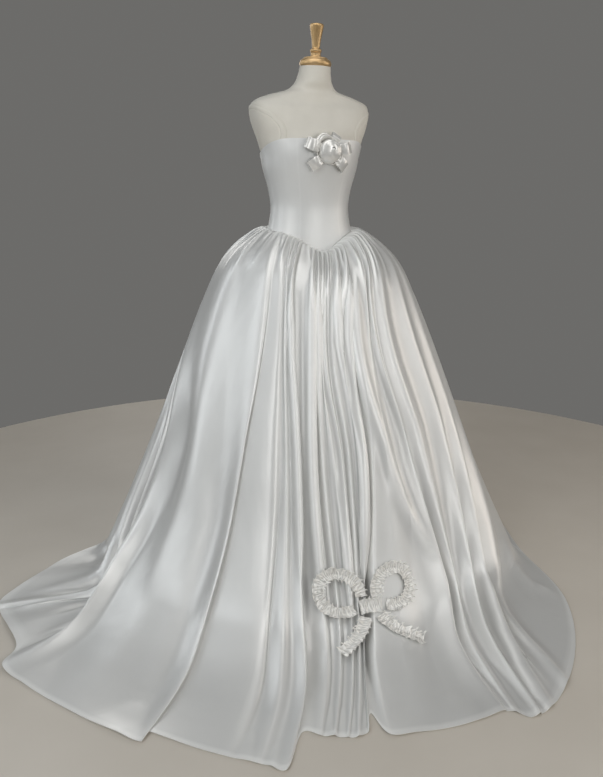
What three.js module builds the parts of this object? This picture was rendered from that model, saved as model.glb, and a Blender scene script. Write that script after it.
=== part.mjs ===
// A strapless a-line wedding dress standing on its limbless dress form.
//
// Frame: millimetres, +Z up, floor at z = 0, origin under the stand's pole.
// The front of the dress looks along -Y and the wearer's left is +X.
// A direction round the body is an angle in degrees: 0 is the front and
// +90 the wearer's left. Every piece of cloth is a wall with an outer and
// an inner face, and neighbouring pieces keep a small seam gap.

import * as THREE from 'three';

// ---------------------------------------------------------------- sizes

const SATIN_WALL = 2;
const SEAM_GAP = 0.3;
const TOUCH_GAP = 0.3;
const ROUND_SEGMENTS = 24;

// The figure under the bodice, one row for each level from the hips to the
// neck. Square is the power of the section's outline: 2 is an ellipse.
const FIGURE_COLUMNS = ['height', 'half', 'front', 'back', 'square', 'lean'];
const FIGURE = [
  [760, 150, 92, 108, 2.0, 0],
  [790, 165, 102, 122, 2.0, 0],
  [870, 170, 106, 128, 2.0, 0],
  [950, 154, 102, 112, 2.0, 0],
  [1010, 133, 96, 98, 2.0, 0],
  [1060, 121, 90, 88, 2.0, 0],
  [1100, 118, 90, 86, 2.0, 0],
  [1150, 126, 100, 92, 2.0, 0],
  [1205, 141, 117, 98, 2.0, 0],
  [1245, 148, 125, 104, 2.05, 0],
  [1290, 160, 118, 108, 2.2, 0],
  [1335, 174, 99, 108, 2.7, 0],
  [1372, 180, 82, 98, 3.2, 0],
  [1391, 178, 69, 86, 3.0, -2],
  [1403, 160, 64, 77, 2.5, -4],
  [1413, 131, 62, 71, 2.2, -6],
  [1426, 82, 57, 60, 2.0, -12],
  [1444, 58, 55, 57, 2.0, -25],
  [1466, 49, 49, 50, 2.0, -36],
  [1490, 45, 45, 45, 2.0, -44],
];

// Bodice. The top edge dips from the bust to the back, and the waist seam
// drops to a rounded point at the front.
const BODICE_EASE = 6;
const TOP_EDGE_FRONT = 1284;
const TOP_EDGE_DIP = 42;
const WAIST_SEAM_SIDE = 1033;
const WAIST_SEAM_GAP = 0.7;
const BASQUE_DROP = 73;
const BASQUE_WIDTH = 45;
const BODICE_COLUMNS = 40;
const BODICE_ROWS = 6;
const BODICE_PANELS = [
  ['bodice_back_right', -180, -126],
  ['bodice_side_back_right', -126, -81],
  ['bodice_side_front_right', -81, -36],
  ['bodice_center_front', -36, 36],
  ['bodice_side_front_left', 36, 81],
  ['bodice_side_back_left', 81, 126],
  ['bodice_back_left', 126, 180],
];

// The skirt's rings from the waist seam to the hem. Track is the ring's
// place on the fold tracks below, height a share of the seam's own height,
// cone the radius of the plain cone, and spread the share of the hem's
// reach beyond the cone's foot.
const CONE_FOOT = 673;
const RING_COLUMNS = ['track', 'height', 'cone', 'spread'];
const RINGS = [
  [0.00, 1.000, 0, 0],
  [0.16, 1.003, 158, 0],
  [0.36, 0.981, 196, 0],
  [0.66, 0.922, 263, 0],
  [0.96, 0.825, 319, 0],
  [1.50, 0.620, 406, 0],
  [2.15, 0.395, 495, 0],
  [2.70, 0.200, 580, 0.005],
  [3.12, 0.078, 637, 0.07],
  [3.36, 0.037, 660, 0.21],
  [3.60, 0.013, 670, 0.44],
  [3.82, 0.003, 673, 0.72],
  [4.00, 0.000, 673, 1.00],
];

// The folds round the skirt, one row for each crest (depth above zero) or
// trough (below zero). The first six columns are the fold's angle at the
// waist seam, high, halfway, low, at the cone's foot and at the hem. Reach
// is the hem's radius, and over how far a crest leans to the wearer's left.
// Late is 1 where the cloth drops to the floor before it spreads and 0
// where it flares out gently.
const TRACK_LEVELS = [0, 1, 2, 3, 3.5, 4];
const FOLD_COLUMNS = [
  'waist', 'high', 'mid', 'low', 'foot', 'hem', 'midDepth', 'lowDepth', 'reach', 'over', 'late',
];
const FOLDS = [
  [-176, -176, -176, -175, -174.5, -174, -14, -18, 780, 0, 0.6],
  [-169, -169.5, -168, -167, -166.5, -166, 16, 20, 792, 3, 0.6],
  [-162, -163, -160, -158, -157.5, -157, -12, -16, 780, 0, 0.6],
  [-155, -157, -152, -149, -148.5, -148, 15, 22, 770, -4, 0.6],
  [-148, -151, -144.5, -140.5, -140, -140, -15, -18, 742, 0, 0.6],
  [-141, -145, -137, -132, -131.5, -131, 17, 22, 712, 6, 0.6],
  [-134.5, -139, -129.5, -124, -122.5, -122, -12, -14, 684, 0, 0.6],
  [-128.5, -133.5, -122, -116, -114, -113, 13, 18, 662, 0, 0.6],
  [-123, -128.5, -115, -108.5, -106.5, -106, -10, -12, 655, 0, 1],
  [-118.5, -124.5, -109.5, -103, -100, -101, 7, 12, 715, 0, 1],
  [-115, -121.5, -105, -98.5, -93.5, -95.5, -6, -10, 815, 0, 1],
  [-112, -119, -101, -94, -86, -89, 6, 16, 900, 4, 1],
  [-109.5, -116.5, -97, -89.5, -78.5, -84, -5, -12, 985, 0, 1],
  [-107, -114, -93.5, -86, -75, -81.8, 5, 22, 1003, 8, 1],
  [-104.5, -111.5, -90, -83, -72, -79.6, -4, -14, 1003, 0, 1],
  [-102, -109.5, -87, -80.3, -69.8, -74.5, 5, 18, 1000, 6, 1],
  [-100, -108, -84.5, -78, -68.3, -68.5, -5, -24, 1010, 0, 1],
  [-97, -105, -80.7, -74.8, -66, -64.6, 7, 24, 1068, -12, -0.2],
  [-89, -92, -71.3, -70, -62.5, -60, -6, -8, 1064, 0, -0.25],
  [-78, -73.6, -64.3, -62, -55, -52, 7, 9, 1060, 0, -0.25],
  [-67, -59.5, -51.6, -48.6, -44.8, -44, -8, -9, 1066, 0, -0.25],
  [-57, -44.5, -44.3, -43.9, -41.1, -40.7, 7, 12, 1072, 13, -0.25],
  [-51, -41, -43, -43, -40.6, -40.1, -3, -5, 1040, 0, -0.25],
  [-45, -35.5, -33.2, -31, -29.8, -31, 6, 8, 1060, 0, -0.25],
  [-41, -33.4, -30, -29.2, -27.7, -28.3, -4, -5, 1067, 0, -0.25],
  [-37.5, -32.4, -28.3, -26.3, -25.2, -26.3, 6, 7, 1074, 0, -0.25],
  [-35, -31.3, -27, -24.8, -23.6, -25, -1, -1, 1078, 0, -0.25],
  [-33, -30, -25.6, -23.1, -21.9, -23.6, 9, 14, 1086, 9, -0.2],
  [-28, -27.5, -24.3, -22.2, -21.3, -21.8, -5, -8, 982, 0, 0],
  [-20, -20.2, -20.1, -17.9, -17.8, -19.6, 8, 9, 990, 2, 0],
  [-15, -18.6, -18.7, -16.2, -16.6, -18.6, -4, -4, 993, 0, 0],
  [-10, -17, -16.6, -14.5, -15.4, -17.8, 7, 9, 994, 2, 0],
  [-4, -15.4, -13.8, -12.8, -14.4, -17, -4, -4, 996, 0, 0],
  [1, -13.8, -10.6, -11.4, -13.2, -16.2, 8, 10, 998, 2, 0],
  [5, -11.8, -9.5, -10.6, -12.6, -15.6, -4, -3, 999, 0, 0],
  [9, -9.7, -8.2, -9.7, -12, -15, 8, 10, 1000, 2, 0],
  [14, -5.5, -5.6, -8.4, -10.9, -14, -4, -3, 992, 0, 0],
  [19, -1.6, -3.4, -8.3, -11, -13.5, 9, 11, 982, 2, 0],
  [24, 0.6, -1.5, -7.2, -10.2, -12.4, -8, -20, 930, 0, 0],
  [28, 3.5, 0.6, -5.4, -8.8, -11, 7, 11, 1002, 0, 0],
  [31.5, 8.3, 4.6, 0.4, -3.8, -7.5, 4, 8, 1006, 0, 0],
  [35, 10, 9.5, 7.5, 2, -1.5, -6, -5, 1012, 0, 0],
  [39, 11.2, 13.5, 14, 7.3, 3.9, 9, 14, 1008, 6, 0],
  [45, 14.2, 15.6, 15.6, 8.7, 5, -7, -12, 1012, 0, 0],
  [53, 19.5, 20.5, 17.6, 10.4, 5.8, 8, 11, 1024, 0, 0],
  [61, 27, 26.8, 20, 12, 6.7, -10, -12, 1050, 0, 0],
  [68, 36, 33, 22.7, 13.8, 7.6, 10, 20, 1055, 8, 0],
  [76, 43, 39, 25.3, 15.8, 8.6, -8, -14, 1052, 0, 0],
  [84, 51, 45, 28.8, 18.6, 9.8, 10, 20, 1050, 6, 0],
  [91, 58, 52, 33, 23, 12.6, -9, -14, 1036, 0, 0.5],
  [98, 66, 60, 42, 29, 15.8, 9, 14, 1016, 0, 1],
  [104, 72, 66, 52, 34.5, 19.5, -6, -4, 990, 0, 1],
  [110, 80, 75, 66, 50, 38, 9, 9, 858, 0, 1],
  [114, 86, 82, 78, 66, 56, -8, -8, 720, 0, 1],
  [118, 92, 89, 87, 80, 74, 9, 12, 688, 0, 1],
  [122, 99, 96, 95, 91, 88, -11, -14, 705, 0, 0.6],
  [130, 108, 106, 105, 103, 101, 15, 20, 740, 5, 0.6],
  [138, 120, 118, 118, 116.5, 115, -13, -16, 770, 0, 0.6],
  [146, 132, 131, 130, 129.5, 129, 16, 20, 790, -4, 0.6],
  [154, 144, 143, 143, 142.5, 142, -13, -15, 795, 0, 0.6],
  [162, 155, 154, 154, 154, 154, 14, 18, 805, 3, 0.6],
  [169, 165, 165, 165, 165, 165, -12, -14, 798, 0, 0.6],
  [176.5, 175, 175, 175.5, 175.5, 175.5, 13, 16, 800, 0, 0.6],
];
const HIGH_SHARE = 0.55;
const FOOT_SHARE = 0.8;
const HEM_SHARE = 0.35;
const LATE_POWER = 1.3;
const FOLD_STEPS = 2;

// The skirt's five panels, each from one seam fold's row to the next.
const SKIRT_PANELS = [
  ['skirt_back_right', 0, 8],
  ['skirt_side_right', 8, 22],
  ['skirt_front', 22, 43],
  ['skirt_side_left', 43, 53],
  ['skirt_back_left', 53, 63],
];

// The ruffle bow: its middle on the skirt, and the strip's own sizes. The
// strip is carried on the crests of the folds that it spans.
const BOW_ANGLE = -6.9;
const BOW_ABOVE_HEM = 380;
const BOW_RADIUS = 632;
const BOW_FIRST_FOLD = 22;
const RUFFLE_WIDTH = 32;
const RUFFLE_HEIGHT = 11;
const RUFFLE_LIFT = 3.5;
const RUFFLE_PROBE = 12;
const CREST_REACH = 1.6;

// Its loops: the way each points from the bow's middle (anticlockwise from
// the wearer's left), its length and width, and how far to the wearer's
// left of the middle it starts.
const BOW_LOOPS = [
  { name: 'ruffle_loop_right', points: 148, long: 114, wide: 98, start: -30 },
  { name: 'ruffle_loop_left', points: 36, long: 104, wide: 90, start: 27 },
];
const LOOP_START = 0.06;
const LOOP_STEPS = 14;

// Its knot and tails: where each starts, bends to and ends, across and up
// from the bow's middle, and its width.
const BOW_STRIPS = [
  { name: 'ruffle_knot', start: [-29, -11], bend: [-1, -9], end: [28, -11], wide: 42, steps: 6 },
  { name: 'ruffle_tail_right', start: [-20, -39], bend: [-32, -84], end: [-88, -134], wide: 32, steps: 9 },
  { name: 'ruffle_tail_left', start: [19, -39], bend: [36, -80], end: [96, -122], wide: 32, steps: 9 },
];

// The rosette: its middle on the bodice, the rolled core's radius and
// height rows, and the petals wrapped round it.
const ROSE_ANGLE = 3;
const ROSE_HEIGHT = 1246;
const ROSE_CORE = [
  [0, 0.4], [26, 0.4], [26, 9.6], [29, 11], [33, 18], [31, 25], [23, 31], [0, 34],
];

// Its petals: the angles round the core where each starts and how far it
// reaches, the radius of its foot and of its lip, and the lip's height.
const PETALS = [
  { name: 'rose_petal_1', start: 88, span: 96, foot: 43, lip: 50, tall: 25 },
  { name: 'rose_petal_2', start: 60, span: 136, foot: 35.5, lip: 41, tall: 26 },
  { name: 'rose_petal_3', start: 280, span: 124, foot: 35.5, lip: 38, tall: 18 },
];
const PETAL_FOOT_HEIGHT = 11;
const PETAL_COLUMNS = 7;
const PETAL_ROWS = 2;

// The satin ribbon's loops: the way each points from the rose's middle
// (anticlockwise from the wearer's left), its length and its dip.
const RIBBON_WIDTH = 27;
const RIBBON_WALL = 1.2;
const RIBBON_START = 32;
const RIBBON_RISE = 7;
const RIBBON_GAP = 1.6;
const RIBBON_LOOPS = [
  { name: 'ribbon_loop_upper_left', points: 60, long: 53, dip: 5 },
  { name: 'ribbon_loop_left', points: 13, long: 68, dip: 7 },
  { name: 'ribbon_loop_lower_left', points: -35, long: 70, dip: 6 },
  { name: 'ribbon_loop_right', points: 160, long: 72, dip: 7 },
  { name: 'ribbon_loop_lower_right', points: 215, long: 68, dip: 6 },
];

// The form. Its turned pieces have radius and height rows.
const TORSO_COLUMNS = 48;
const TORSO_LEVELS = [
  760, 775, 800, 840, 890, 950, 1010, 1060, 1100, 1150, 1205, 1240, 1263, 1286,
  1309, 1332, 1352, 1368, 1380, 1390, 1400, 1408, 1416, 1426, 1438, 1452, 1470, 1490,
];
const NECK_FOOT = 1436;
const NECK_TOP = 1490;
const NECK_TILT = 6;
const NECK_CAP = [
  [0, 0], [42, 0], [45.5, 2.5], [46.5, 7], [45.5, 12], [42, 17],
  [37, 20], [34.5, 21], [34, 23], [31, 24], [0, 24],
];
const FINIAL = [
  [0, 0], [17, 0], [17, 2.5], [14.5, 5], [14.5, 12], [16.5, 15], [16.5, 20], [12.5, 23],
  [11.5, 26], [13, 42], [16.5, 62], [19.5, 78], [20, 83], [18, 87], [12, 88.5], [0, 89],
];
const STAND_BASE = [[0, 0], [166, 0], [170, 4], [170, 9], [162, 14], [40, 18], [22, 26], [0, 26]];
const POLE_RADIUS = 12.5;

// The arm plates: the oval's middle angle and height, its half sizes, how
// far its top turns to the back, and its seat and thickness on the torso.
const ARM_PLATE = {
  angle: 89,
  height: 1316,
  halfAngle: 38.5,
  halfHeight: 70,
  tilt: 12,
  seat: 1.2,
  thick: 1,
  rings: 6,
  steps: 28,
};

const satin = { color: 0xd9dad8, roughness: 0.34, metalness: 0 };
const formLinen = { color: 0xd6d2c2, roughness: 0.85, metalness: 0 };
const gold = { color: 0xcf9f55, roughness: 0.3, metalness: 0.9 };
const standMetal = { color: 0xd8d4ca, roughness: 0.4, metalness: 0.3 };

// -------------------------------------------------------------- helpers

const dress = new THREE.Group();

function addPiece(name, geometry, look) {
  const mesh = new THREE.Mesh(geometry, new THREE.MeshStandardMaterial(look));
  mesh.name = name;
  dress.add(mesh);
  return mesh;
}

function named(columns, rows) {
  return rows.map((row) => Object.fromEntries(columns.map((column, i) => [column, row[i]])));
}

function radians(angle) {
  return angle * Math.PI / 180;
}

function degrees(turn) {
  return turn * 180 / Math.PI;
}

function outwards(angle) {
  return new THREE.Vector3(Math.sin(radians(angle)), -Math.cos(radians(angle)), 0);
}

// Smooth value at x through the points (xs, ys), with even tangents.
function smoothThrough(xs, ys, x) {
  const last = xs.length - 1;
  let i = 0;
  while (i < last - 1 && x > xs[i + 1]) i += 1;
  const slope = (a, b) => (ys[b] - ys[a]) / (xs[b] - xs[a]);
  const m0 = i > 0 ? slope(i - 1, i + 1) : slope(0, 1);
  const m1 = i + 2 <= last ? slope(i, i + 2) : slope(last - 1, last);
  const span = xs[i + 1] - xs[i];
  const t = THREE.MathUtils.clamp((x - xs[i]) / span, 0, 1);
  const a = ys[i] * (1 + 2 * t) * (1 - t) ** 2;
  const b = ys[i + 1] * t * t * (3 - 2 * t);
  return a + b + span * (m0 * t * (1 - t) ** 2 - m1 * t * t * (1 - t));
}

function volumeOf(points, triangles) {
  const wedge = ([a, b, c]) => points[a].dot(points[b].clone().cross(points[c])) / 6;
  return triangles.reduce((sum, triangle) => sum + wedge(triangle), 0);
}

// A mesh of shared points, its faces turned to point out of the solid.
function solidFrom(points, triangles) {
  if (volumeOf(points, triangles) < 0) triangles.forEach((triangle) => triangle.reverse());
  const geometry = new THREE.BufferGeometry();
  const flat = points.flatMap((p) => [p.x, p.y, p.z]);
  geometry.setAttribute('position', new THREE.Float32BufferAttribute(flat, 3));
  geometry.setIndex(triangles.flat());
  geometry.computeVertexNormals();
  return geometry;
}

// A closed wall between two grids of points. Rows run from top to bottom
// and columns anticlockwise seen from above.
function wallSolid(outer, inner) {
  const rows = outer.length;
  const columns = outer[0].length;
  const points = [...outer.flat(), ...inner.flat()];
  const o = (j, i) => j * columns + i;
  const n = (j, i) => rows * columns + o(j, i);
  const triangles = [];
  for (let j = 0; j < rows - 1; j += 1) {
    for (let i = 0; i < columns - 1; i += 1) {
      triangles.push([o(j, i), o(j + 1, i), o(j, i + 1)]);
      triangles.push([o(j, i + 1), o(j + 1, i), o(j + 1, i + 1)]);
      triangles.push([n(j, i), n(j, i + 1), n(j + 1, i)]);
      triangles.push([n(j, i + 1), n(j + 1, i + 1), n(j + 1, i)]);
    }
    const e = columns - 1;
    triangles.push([o(j, 0), n(j, 0), o(j + 1, 0)], [n(j, 0), n(j + 1, 0), o(j + 1, 0)]);
    triangles.push([o(j, e), o(j + 1, e), n(j, e)], [n(j, e), o(j + 1, e), n(j + 1, e)]);
  }
  const f = rows - 1;
  for (let i = 0; i < columns - 1; i += 1) {
    triangles.push([o(0, i), o(0, i + 1), n(0, i + 1)], [o(0, i), n(0, i + 1), n(0, i)]);
    triangles.push([o(f, i), n(f, i + 1), o(f, i + 1)], [o(f, i), n(f, i), n(f, i + 1)]);
  }
  return solidFrom(points, triangles);
}

// A closed solid through rings of equal length, with a cap at each end.
function loftSolid(rings) {
  const count = rings[0].length;
  const points = rings.flat();
  const triangles = [];
  for (let j = 0; j < rings.length - 1; j += 1) {
    for (let i = 0; i < count; i += 1) {
      const a = j * count + i;
      const b = j * count + (i + 1) % count;
      triangles.push([a, b, a + count], [b, b + count, a + count]);
    }
  }
  const capCentre = (ring) => {
    const centre = ring.reduce((sum, p) => sum.add(p), new THREE.Vector3());
    points.push(centre.divideScalar(count));
    return points.length - 1;
  };
  const near = capCentre(rings[0]);
  const far = capCentre(rings[rings.length - 1]);
  const start = (rings.length - 1) * count;
  for (let i = 0; i < count; i += 1) {
    const next = (i + 1) % count;
    triangles.push([near, next, i], [far, start + i, start + next]);
  }
  return solidFrom(points, triangles);
}

// Unit normals of a grid of points, by the differences to its neighbours.
function gridNormals(grid, closed) {
  const columns = grid[0].length;
  const wrap = (i) => (i + columns) % columns;
  return grid.map((row, j) => row.map((_, i) => {
    const up = grid[Math.max(j - 1, 0)][i];
    const down = grid[Math.min(j + 1, grid.length - 1)][i];
    const left = row[closed ? wrap(i - 1) : Math.max(i - 1, 0)];
    const right = row[closed ? wrap(i + 1) : Math.min(i + 1, columns - 1)];
    const fall = new THREE.Vector3().subVectors(down, up);
    return fall.cross(new THREE.Vector3().subVectors(right, left)).normalize();
  }));
}

// Cuts columns first..last out of a pair of grids and draws both side
// edges in by half the seam gap.
function cutPanel(outer, inner, first, last) {
  const drawIn = (grid) => grid.map((ring) => {
    const row = [];
    for (let i = first; i <= last; i += 1) row.push(ring[i % ring.length].clone());
    const shift = (from, to) => new THREE.Vector3().subVectors(to, from).setLength(SEAM_GAP / 2);
    const end = row.length - 1;
    const left = shift(row[0], row[1]);
    const right = shift(row[end], row[end - 1]);
    row[0].add(left);
    row[end].add(right);
    return row;
  });
  return wallSolid(drawIn(outer), drawIn(inner));
}

// --------------------------------------------------------------- figure

const figureRows = named(FIGURE_COLUMNS, FIGURE);
const figureHeights = figureRows.map((row) => row.height);

function figureAt(height) {
  const value = (key) => smoothThrough(figureHeights, figureRows.map((row) => row[key]), height);
  return Object.fromEntries(FIGURE_COLUMNS.map((key) => [key, value(key)]));
}

// The point of the figure's skin at an angle and a height, moved out.
function figurePoint(angle, height, ease) {
  const level = figureAt(height);
  const direction = outwards(angle);
  const depth = Math.abs(angle) < 90 ? level.front : level.back;
  const across = Math.abs(direction.x / (level.half + ease)) ** level.square;
  const along = Math.abs(direction.y / (depth + ease)) ** level.square;
  const radius = (across + along) ** (-1 / level.square);
  return direction.multiplyScalar(radius).add(new THREE.Vector3(0, level.lean, height));
}

// --------------------------------------------------------------- bodice

function topEdgeHeight(angle) {
  const dip = THREE.MathUtils.smoothstep(Math.abs(angle), 45, 115);
  return TOP_EDGE_FRONT - TOP_EDGE_DIP * dip;
}

function waistSeamHeight(angle) {
  return WAIST_SEAM_SIDE - BASQUE_DROP / (1 + (angle / BASQUE_WIDTH) ** 2) ** 1.5;
}

function bodiceGrid(ease) {
  const grid = [];
  for (let j = 0; j <= BODICE_ROWS; j += 1) {
    const row = [];
    for (let i = 0; i < BODICE_COLUMNS; i += 1) {
      const angle = -180 + 360 * i / BODICE_COLUMNS;
      const height = THREE.MathUtils.lerp(topEdgeHeight(angle), waistSeamHeight(angle), j / BODICE_ROWS);
      row.push(figurePoint(angle, height, ease));
    }
    grid.push(row);
  }
  return grid;
}

function addBodice() {
  const outer = bodiceGrid(BODICE_EASE);
  const inner = bodiceGrid(BODICE_EASE - SATIN_WALL);
  const column = (angle) => Math.round((angle + 180) * BODICE_COLUMNS / 360);
  for (const [name, from, to] of BODICE_PANELS) {
    addPiece(name, cutPanel(outer, inner, column(from), column(to)), satin);
  }
}

// ---------------------------------------------------------------- skirt

const folds = named(FOLD_COLUMNS, FOLDS);
const rings = named(RING_COLUMNS, RINGS);

// A value of the folds at a fractional fold number, smooth round the skirt.
function roundFolds(valueOf, position) {
  const i = Math.floor(position);
  const t = position - i;
  const pick = (k) => {
    const turn = Math.floor(k / folds.length);
    return valueOf(folds[k - turn * folds.length], turn * 360);
  };
  return smoothThrough([-1, 0, 1, 2], [i - 1, i, i + 1, i + 2].map(pick), t);
}

function foldAngle(track) {
  return (fold, turn) => {
    const angles = [fold.waist, fold.high, fold.mid, fold.low, fold.foot, fold.hem];
    return turn + smoothThrough(TRACK_LEVELS, angles, track);
  };
}

function foldDepth(track) {
  return (fold) => {
    const { midDepth: mid, lowDepth: low } = fold;
    const depths = [0, mid * HIGH_SHARE, mid, low, low * FOOT_SHARE, Math.max(low, 0) * HEM_SHARE];
    return smoothThrough(TRACK_LEVELS, depths, track);
  };
}

// How much of a crest's lean has come in by a track.
function smoothStart(track) {
  return THREE.MathUtils.smoothstep(track, 0.6, 1.8);
}

// A ring's radius and height on the plain profile, before its folds.
function skirtProfile(ring, seam, reach, late) {
  const spread = ring.spread ** (1 + LATE_POWER * late);
  const radius = ring.cone === 0 ? seam.radius : ring.cone + spread * (reach - CONE_FOOT);
  const height = Math.max(ring.height * seam.height, SATIN_WALL);
  return new THREE.Vector2(radius, height);
}

function skirtPoint(position, j) {
  const waist = roundFolds((fold, turn) => fold.waist + turn, position);
  const seamPoint = figurePoint(waist, waistSeamHeight(waist), BODICE_EASE + SEAM_GAP);
  const seam = { radius: Math.hypot(seamPoint.x, seamPoint.y), height: seamPoint.z - WAIST_SEAM_GAP };
  const reach = roundFolds((fold) => fold.reach, position);
  const late = roundFolds((fold) => fold.late, position);
  const at = (k) => skirtProfile(rings[THREE.MathUtils.clamp(k, 0, rings.length - 1)], seam, reach, late);
  const slope = new THREE.Vector2().subVectors(at(j + 1), at(j - 1)).normalize();
  const depth = roundFolds(foldDepth(rings[j].track), position);
  const profile = at(j).add(new THREE.Vector2(-slope.y, slope.x).multiplyScalar(depth));
  const lean = roundFolds((fold) => fold.over, position) * smoothStart(rings[j].track);
  const angle = roundFolds(foldAngle(rings[j].track), position) + degrees(lean / Math.max(profile.x, 100));
  const point = outwards(angle).multiplyScalar(profile.x);
  point.z = Math.max(profile.y, SATIN_WALL);
  return point;
}

function skirtOuterGrid() {
  return rings.map((_, j) => {
    const row = [];
    for (let i = 0; i < folds.length * FOLD_STEPS; i += 1) row.push(skirtPoint(i / FOLD_STEPS, j));
    return row;
  });
}

// The inner face, one wall further in, laid flat where it meets the floor.
function skirtInnerGrid(outer) {
  const normals = gridNormals(outer, true);
  return outer.map((row, j) => row.map((point, i) => {
    const inner = point.clone().addScaledVector(normals[j][i], -SATIN_WALL);
    inner.z = Math.max(inner.z, 0);
    return inner;
  }));
}

const skirtOuter = skirtOuterGrid();
const skirtInner = skirtInnerGrid(skirtOuter);

function addSkirt() {
  for (const [name, from, to] of SKIRT_PANELS) {
    addPiece(name, cutPanel(skirtOuter, skirtInner, from * FOLD_STEPS, to * FOLD_STEPS), satin);
  }
}

// ----------------------------------------------------------- ruffle bow

// Cloth length from each ring down to the hem, on the plain profile.
function lengthsToHem() {
  const seam = { radius: BOW_RADIUS / 5, height: WAIST_SEAM_SIDE - BASQUE_DROP };
  const profile = rings.map((ring) => skirtProfile(ring, seam, 1000, 0));
  const lengths = profile.map(() => 0);
  for (let j = profile.length - 2; j >= 0; j -= 1) {
    lengths[j] = lengths[j + 1] + profile[j].distanceTo(profile[j + 1]);
  }
  return lengths;
}

const lengthToHem = lengthsToHem();

// The cloth's outer face at an angle and a cloth length above the hem.
function onCloth(angle, aboveHem) {
  let j = 0;
  while (lengthToHem[j + 1] > aboveHem) j += 1;
  const down = (lengthToHem[j] - aboveHem) / (lengthToHem[j] - lengthToHem[j + 1]);
  const point = (i) => skirtOuter[j][i].clone().lerp(skirtOuter[j + 1][i], down);
  const angleOf = (p) => degrees(Math.atan2(p.x, -p.y));
  let i = BOW_FIRST_FOLD * FOLD_STEPS;
  while (angleOf(point(i + 1)) < angle) i += 1;
  const a = point(i);
  const b = point(i + 1);
  return a.clone().lerp(b, (angle - angleOf(a)) / (angleOf(b) - angleOf(a)));
}

// The same, carried from crest to crest of the folds that a trim spans.
function onCrests(angle, aboveHem) {
  const near = [-1, -0.67, -0.33, 0, 0.33, 0.67, 1].map((k) => onCloth(angle + k * CREST_REACH, aboveHem));
  const radius = Math.max(...near.map((point) => Math.hypot(point.x, point.y)));
  const height = Math.max(...near.map((point) => point.z));
  return outwards(angle).multiplyScalar(radius).add(new THREE.Vector3(0, 0, height));
}

// The cloth at a place across and up from the bow's middle, moved out.
function onBow(across, up, lift) {
  const at = (x, y) => onCrests(BOW_ANGLE + degrees(x / BOW_RADIUS), BOW_ABOVE_HEM + y);
  const side = at(across + RUFFLE_PROBE, up).sub(at(across - RUFFLE_PROBE, up));
  const rise = at(across, up + RUFFLE_PROBE).sub(at(across, up - RUFFLE_PROBE));
  return at(across, up).addScaledVector(side.cross(rise).normalize(), lift);
}

// The strip's plain reach along a path across and up from the middle.
function ruffleSolid(path, wide) {
  const top = RUFFLE_LIFT + RUFFLE_HEIGHT;
  const sections = path.map((point, k) => {
    const before = path[Math.max(k - 1, 0)];
    const after = path[Math.min(k + 1, path.length - 1)];
    const along = new THREE.Vector2().subVectors(after, before).setLength(wide / 2);
    const place = (side, lift) => onBow(point.x - side * along.y, point.y + side * along.x, lift);
    return [
      place(-1, RUFFLE_LIFT), place(0, RUFFLE_LIFT), place(1, RUFFLE_LIFT),
      place(1, top), place(0, top), place(-1, top),
    ];
  });
  return loftSolid(sections);
}

function addRuffleBow() {
  for (const loop of BOW_LOOPS) {
    const path = [];
    for (let k = 0; k <= LOOP_STEPS; k += 1) {
      const turn = 2 * Math.PI * THREE.MathUtils.lerp(LOOP_START, 1 - LOOP_START, k / LOOP_STEPS);
      const point = new THREE.Vector2(loop.long * (1 - Math.cos(turn)) / 2, loop.wide * Math.sin(turn) / 2);
      point.rotateAround(new THREE.Vector2(), radians(loop.points));
      path.push(point.setX(point.x + loop.start));
    }
    addPiece(loop.name, ruffleSolid(path, RUFFLE_WIDTH), satin);
  }
  for (const strip of BOW_STRIPS) {
    const corner = (key) => new THREE.Vector2(...strip[key]);
    const curve = new THREE.QuadraticBezierCurve(corner('start'), corner('bend'), corner('end'));
    addPiece(strip.name, ruffleSolid(curve.getPoints(strip.steps), strip.wide), satin);
  }
}

// -------------------------------------------------------------- rosette

function rosetteFrame() {
  const seat = figurePoint(ROSE_ANGLE, ROSE_HEIGHT, BODICE_EASE);
  const near = (turn, rise) => figurePoint(ROSE_ANGLE + turn, ROSE_HEIGHT + rise, BODICE_EASE);
  const across = near(2, 0).sub(near(-2, 0)).normalize();
  const out = across.clone().cross(near(0, 3).sub(near(0, -3))).normalize();
  const up = out.clone().cross(across);
  const frame = new THREE.Group();
  frame.quaternion.setFromRotationMatrix(new THREE.Matrix4().makeBasis(across, up, out));
  frame.position.copy(seat);
  return frame;
}

// One wrapped petal: a wall that flares out from its foot to its lip.
function petalGeometry({ start, span, foot, lip, tall }) {
  const face = (inset) => {
    const grid = [];
    for (let j = PETAL_ROWS; j >= 0; j -= 1) {
      const row = [];
      for (let i = 0; i <= PETAL_COLUMNS; i += 1) {
        const turn = radians(start + span * i / PETAL_COLUMNS);
        const reach = THREE.MathUtils.lerp(foot, lip, j / PETAL_ROWS) - inset;
        const height = THREE.MathUtils.lerp(PETAL_FOOT_HEIGHT, tall, j / PETAL_ROWS);
        row.push(new THREE.Vector3(reach * Math.cos(turn), reach * Math.sin(turn), height));
      }
      grid.push(row);
    }
    return grid;
  };
  return wallSolid(face(0), face(RIBBON_WALL));
}

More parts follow.
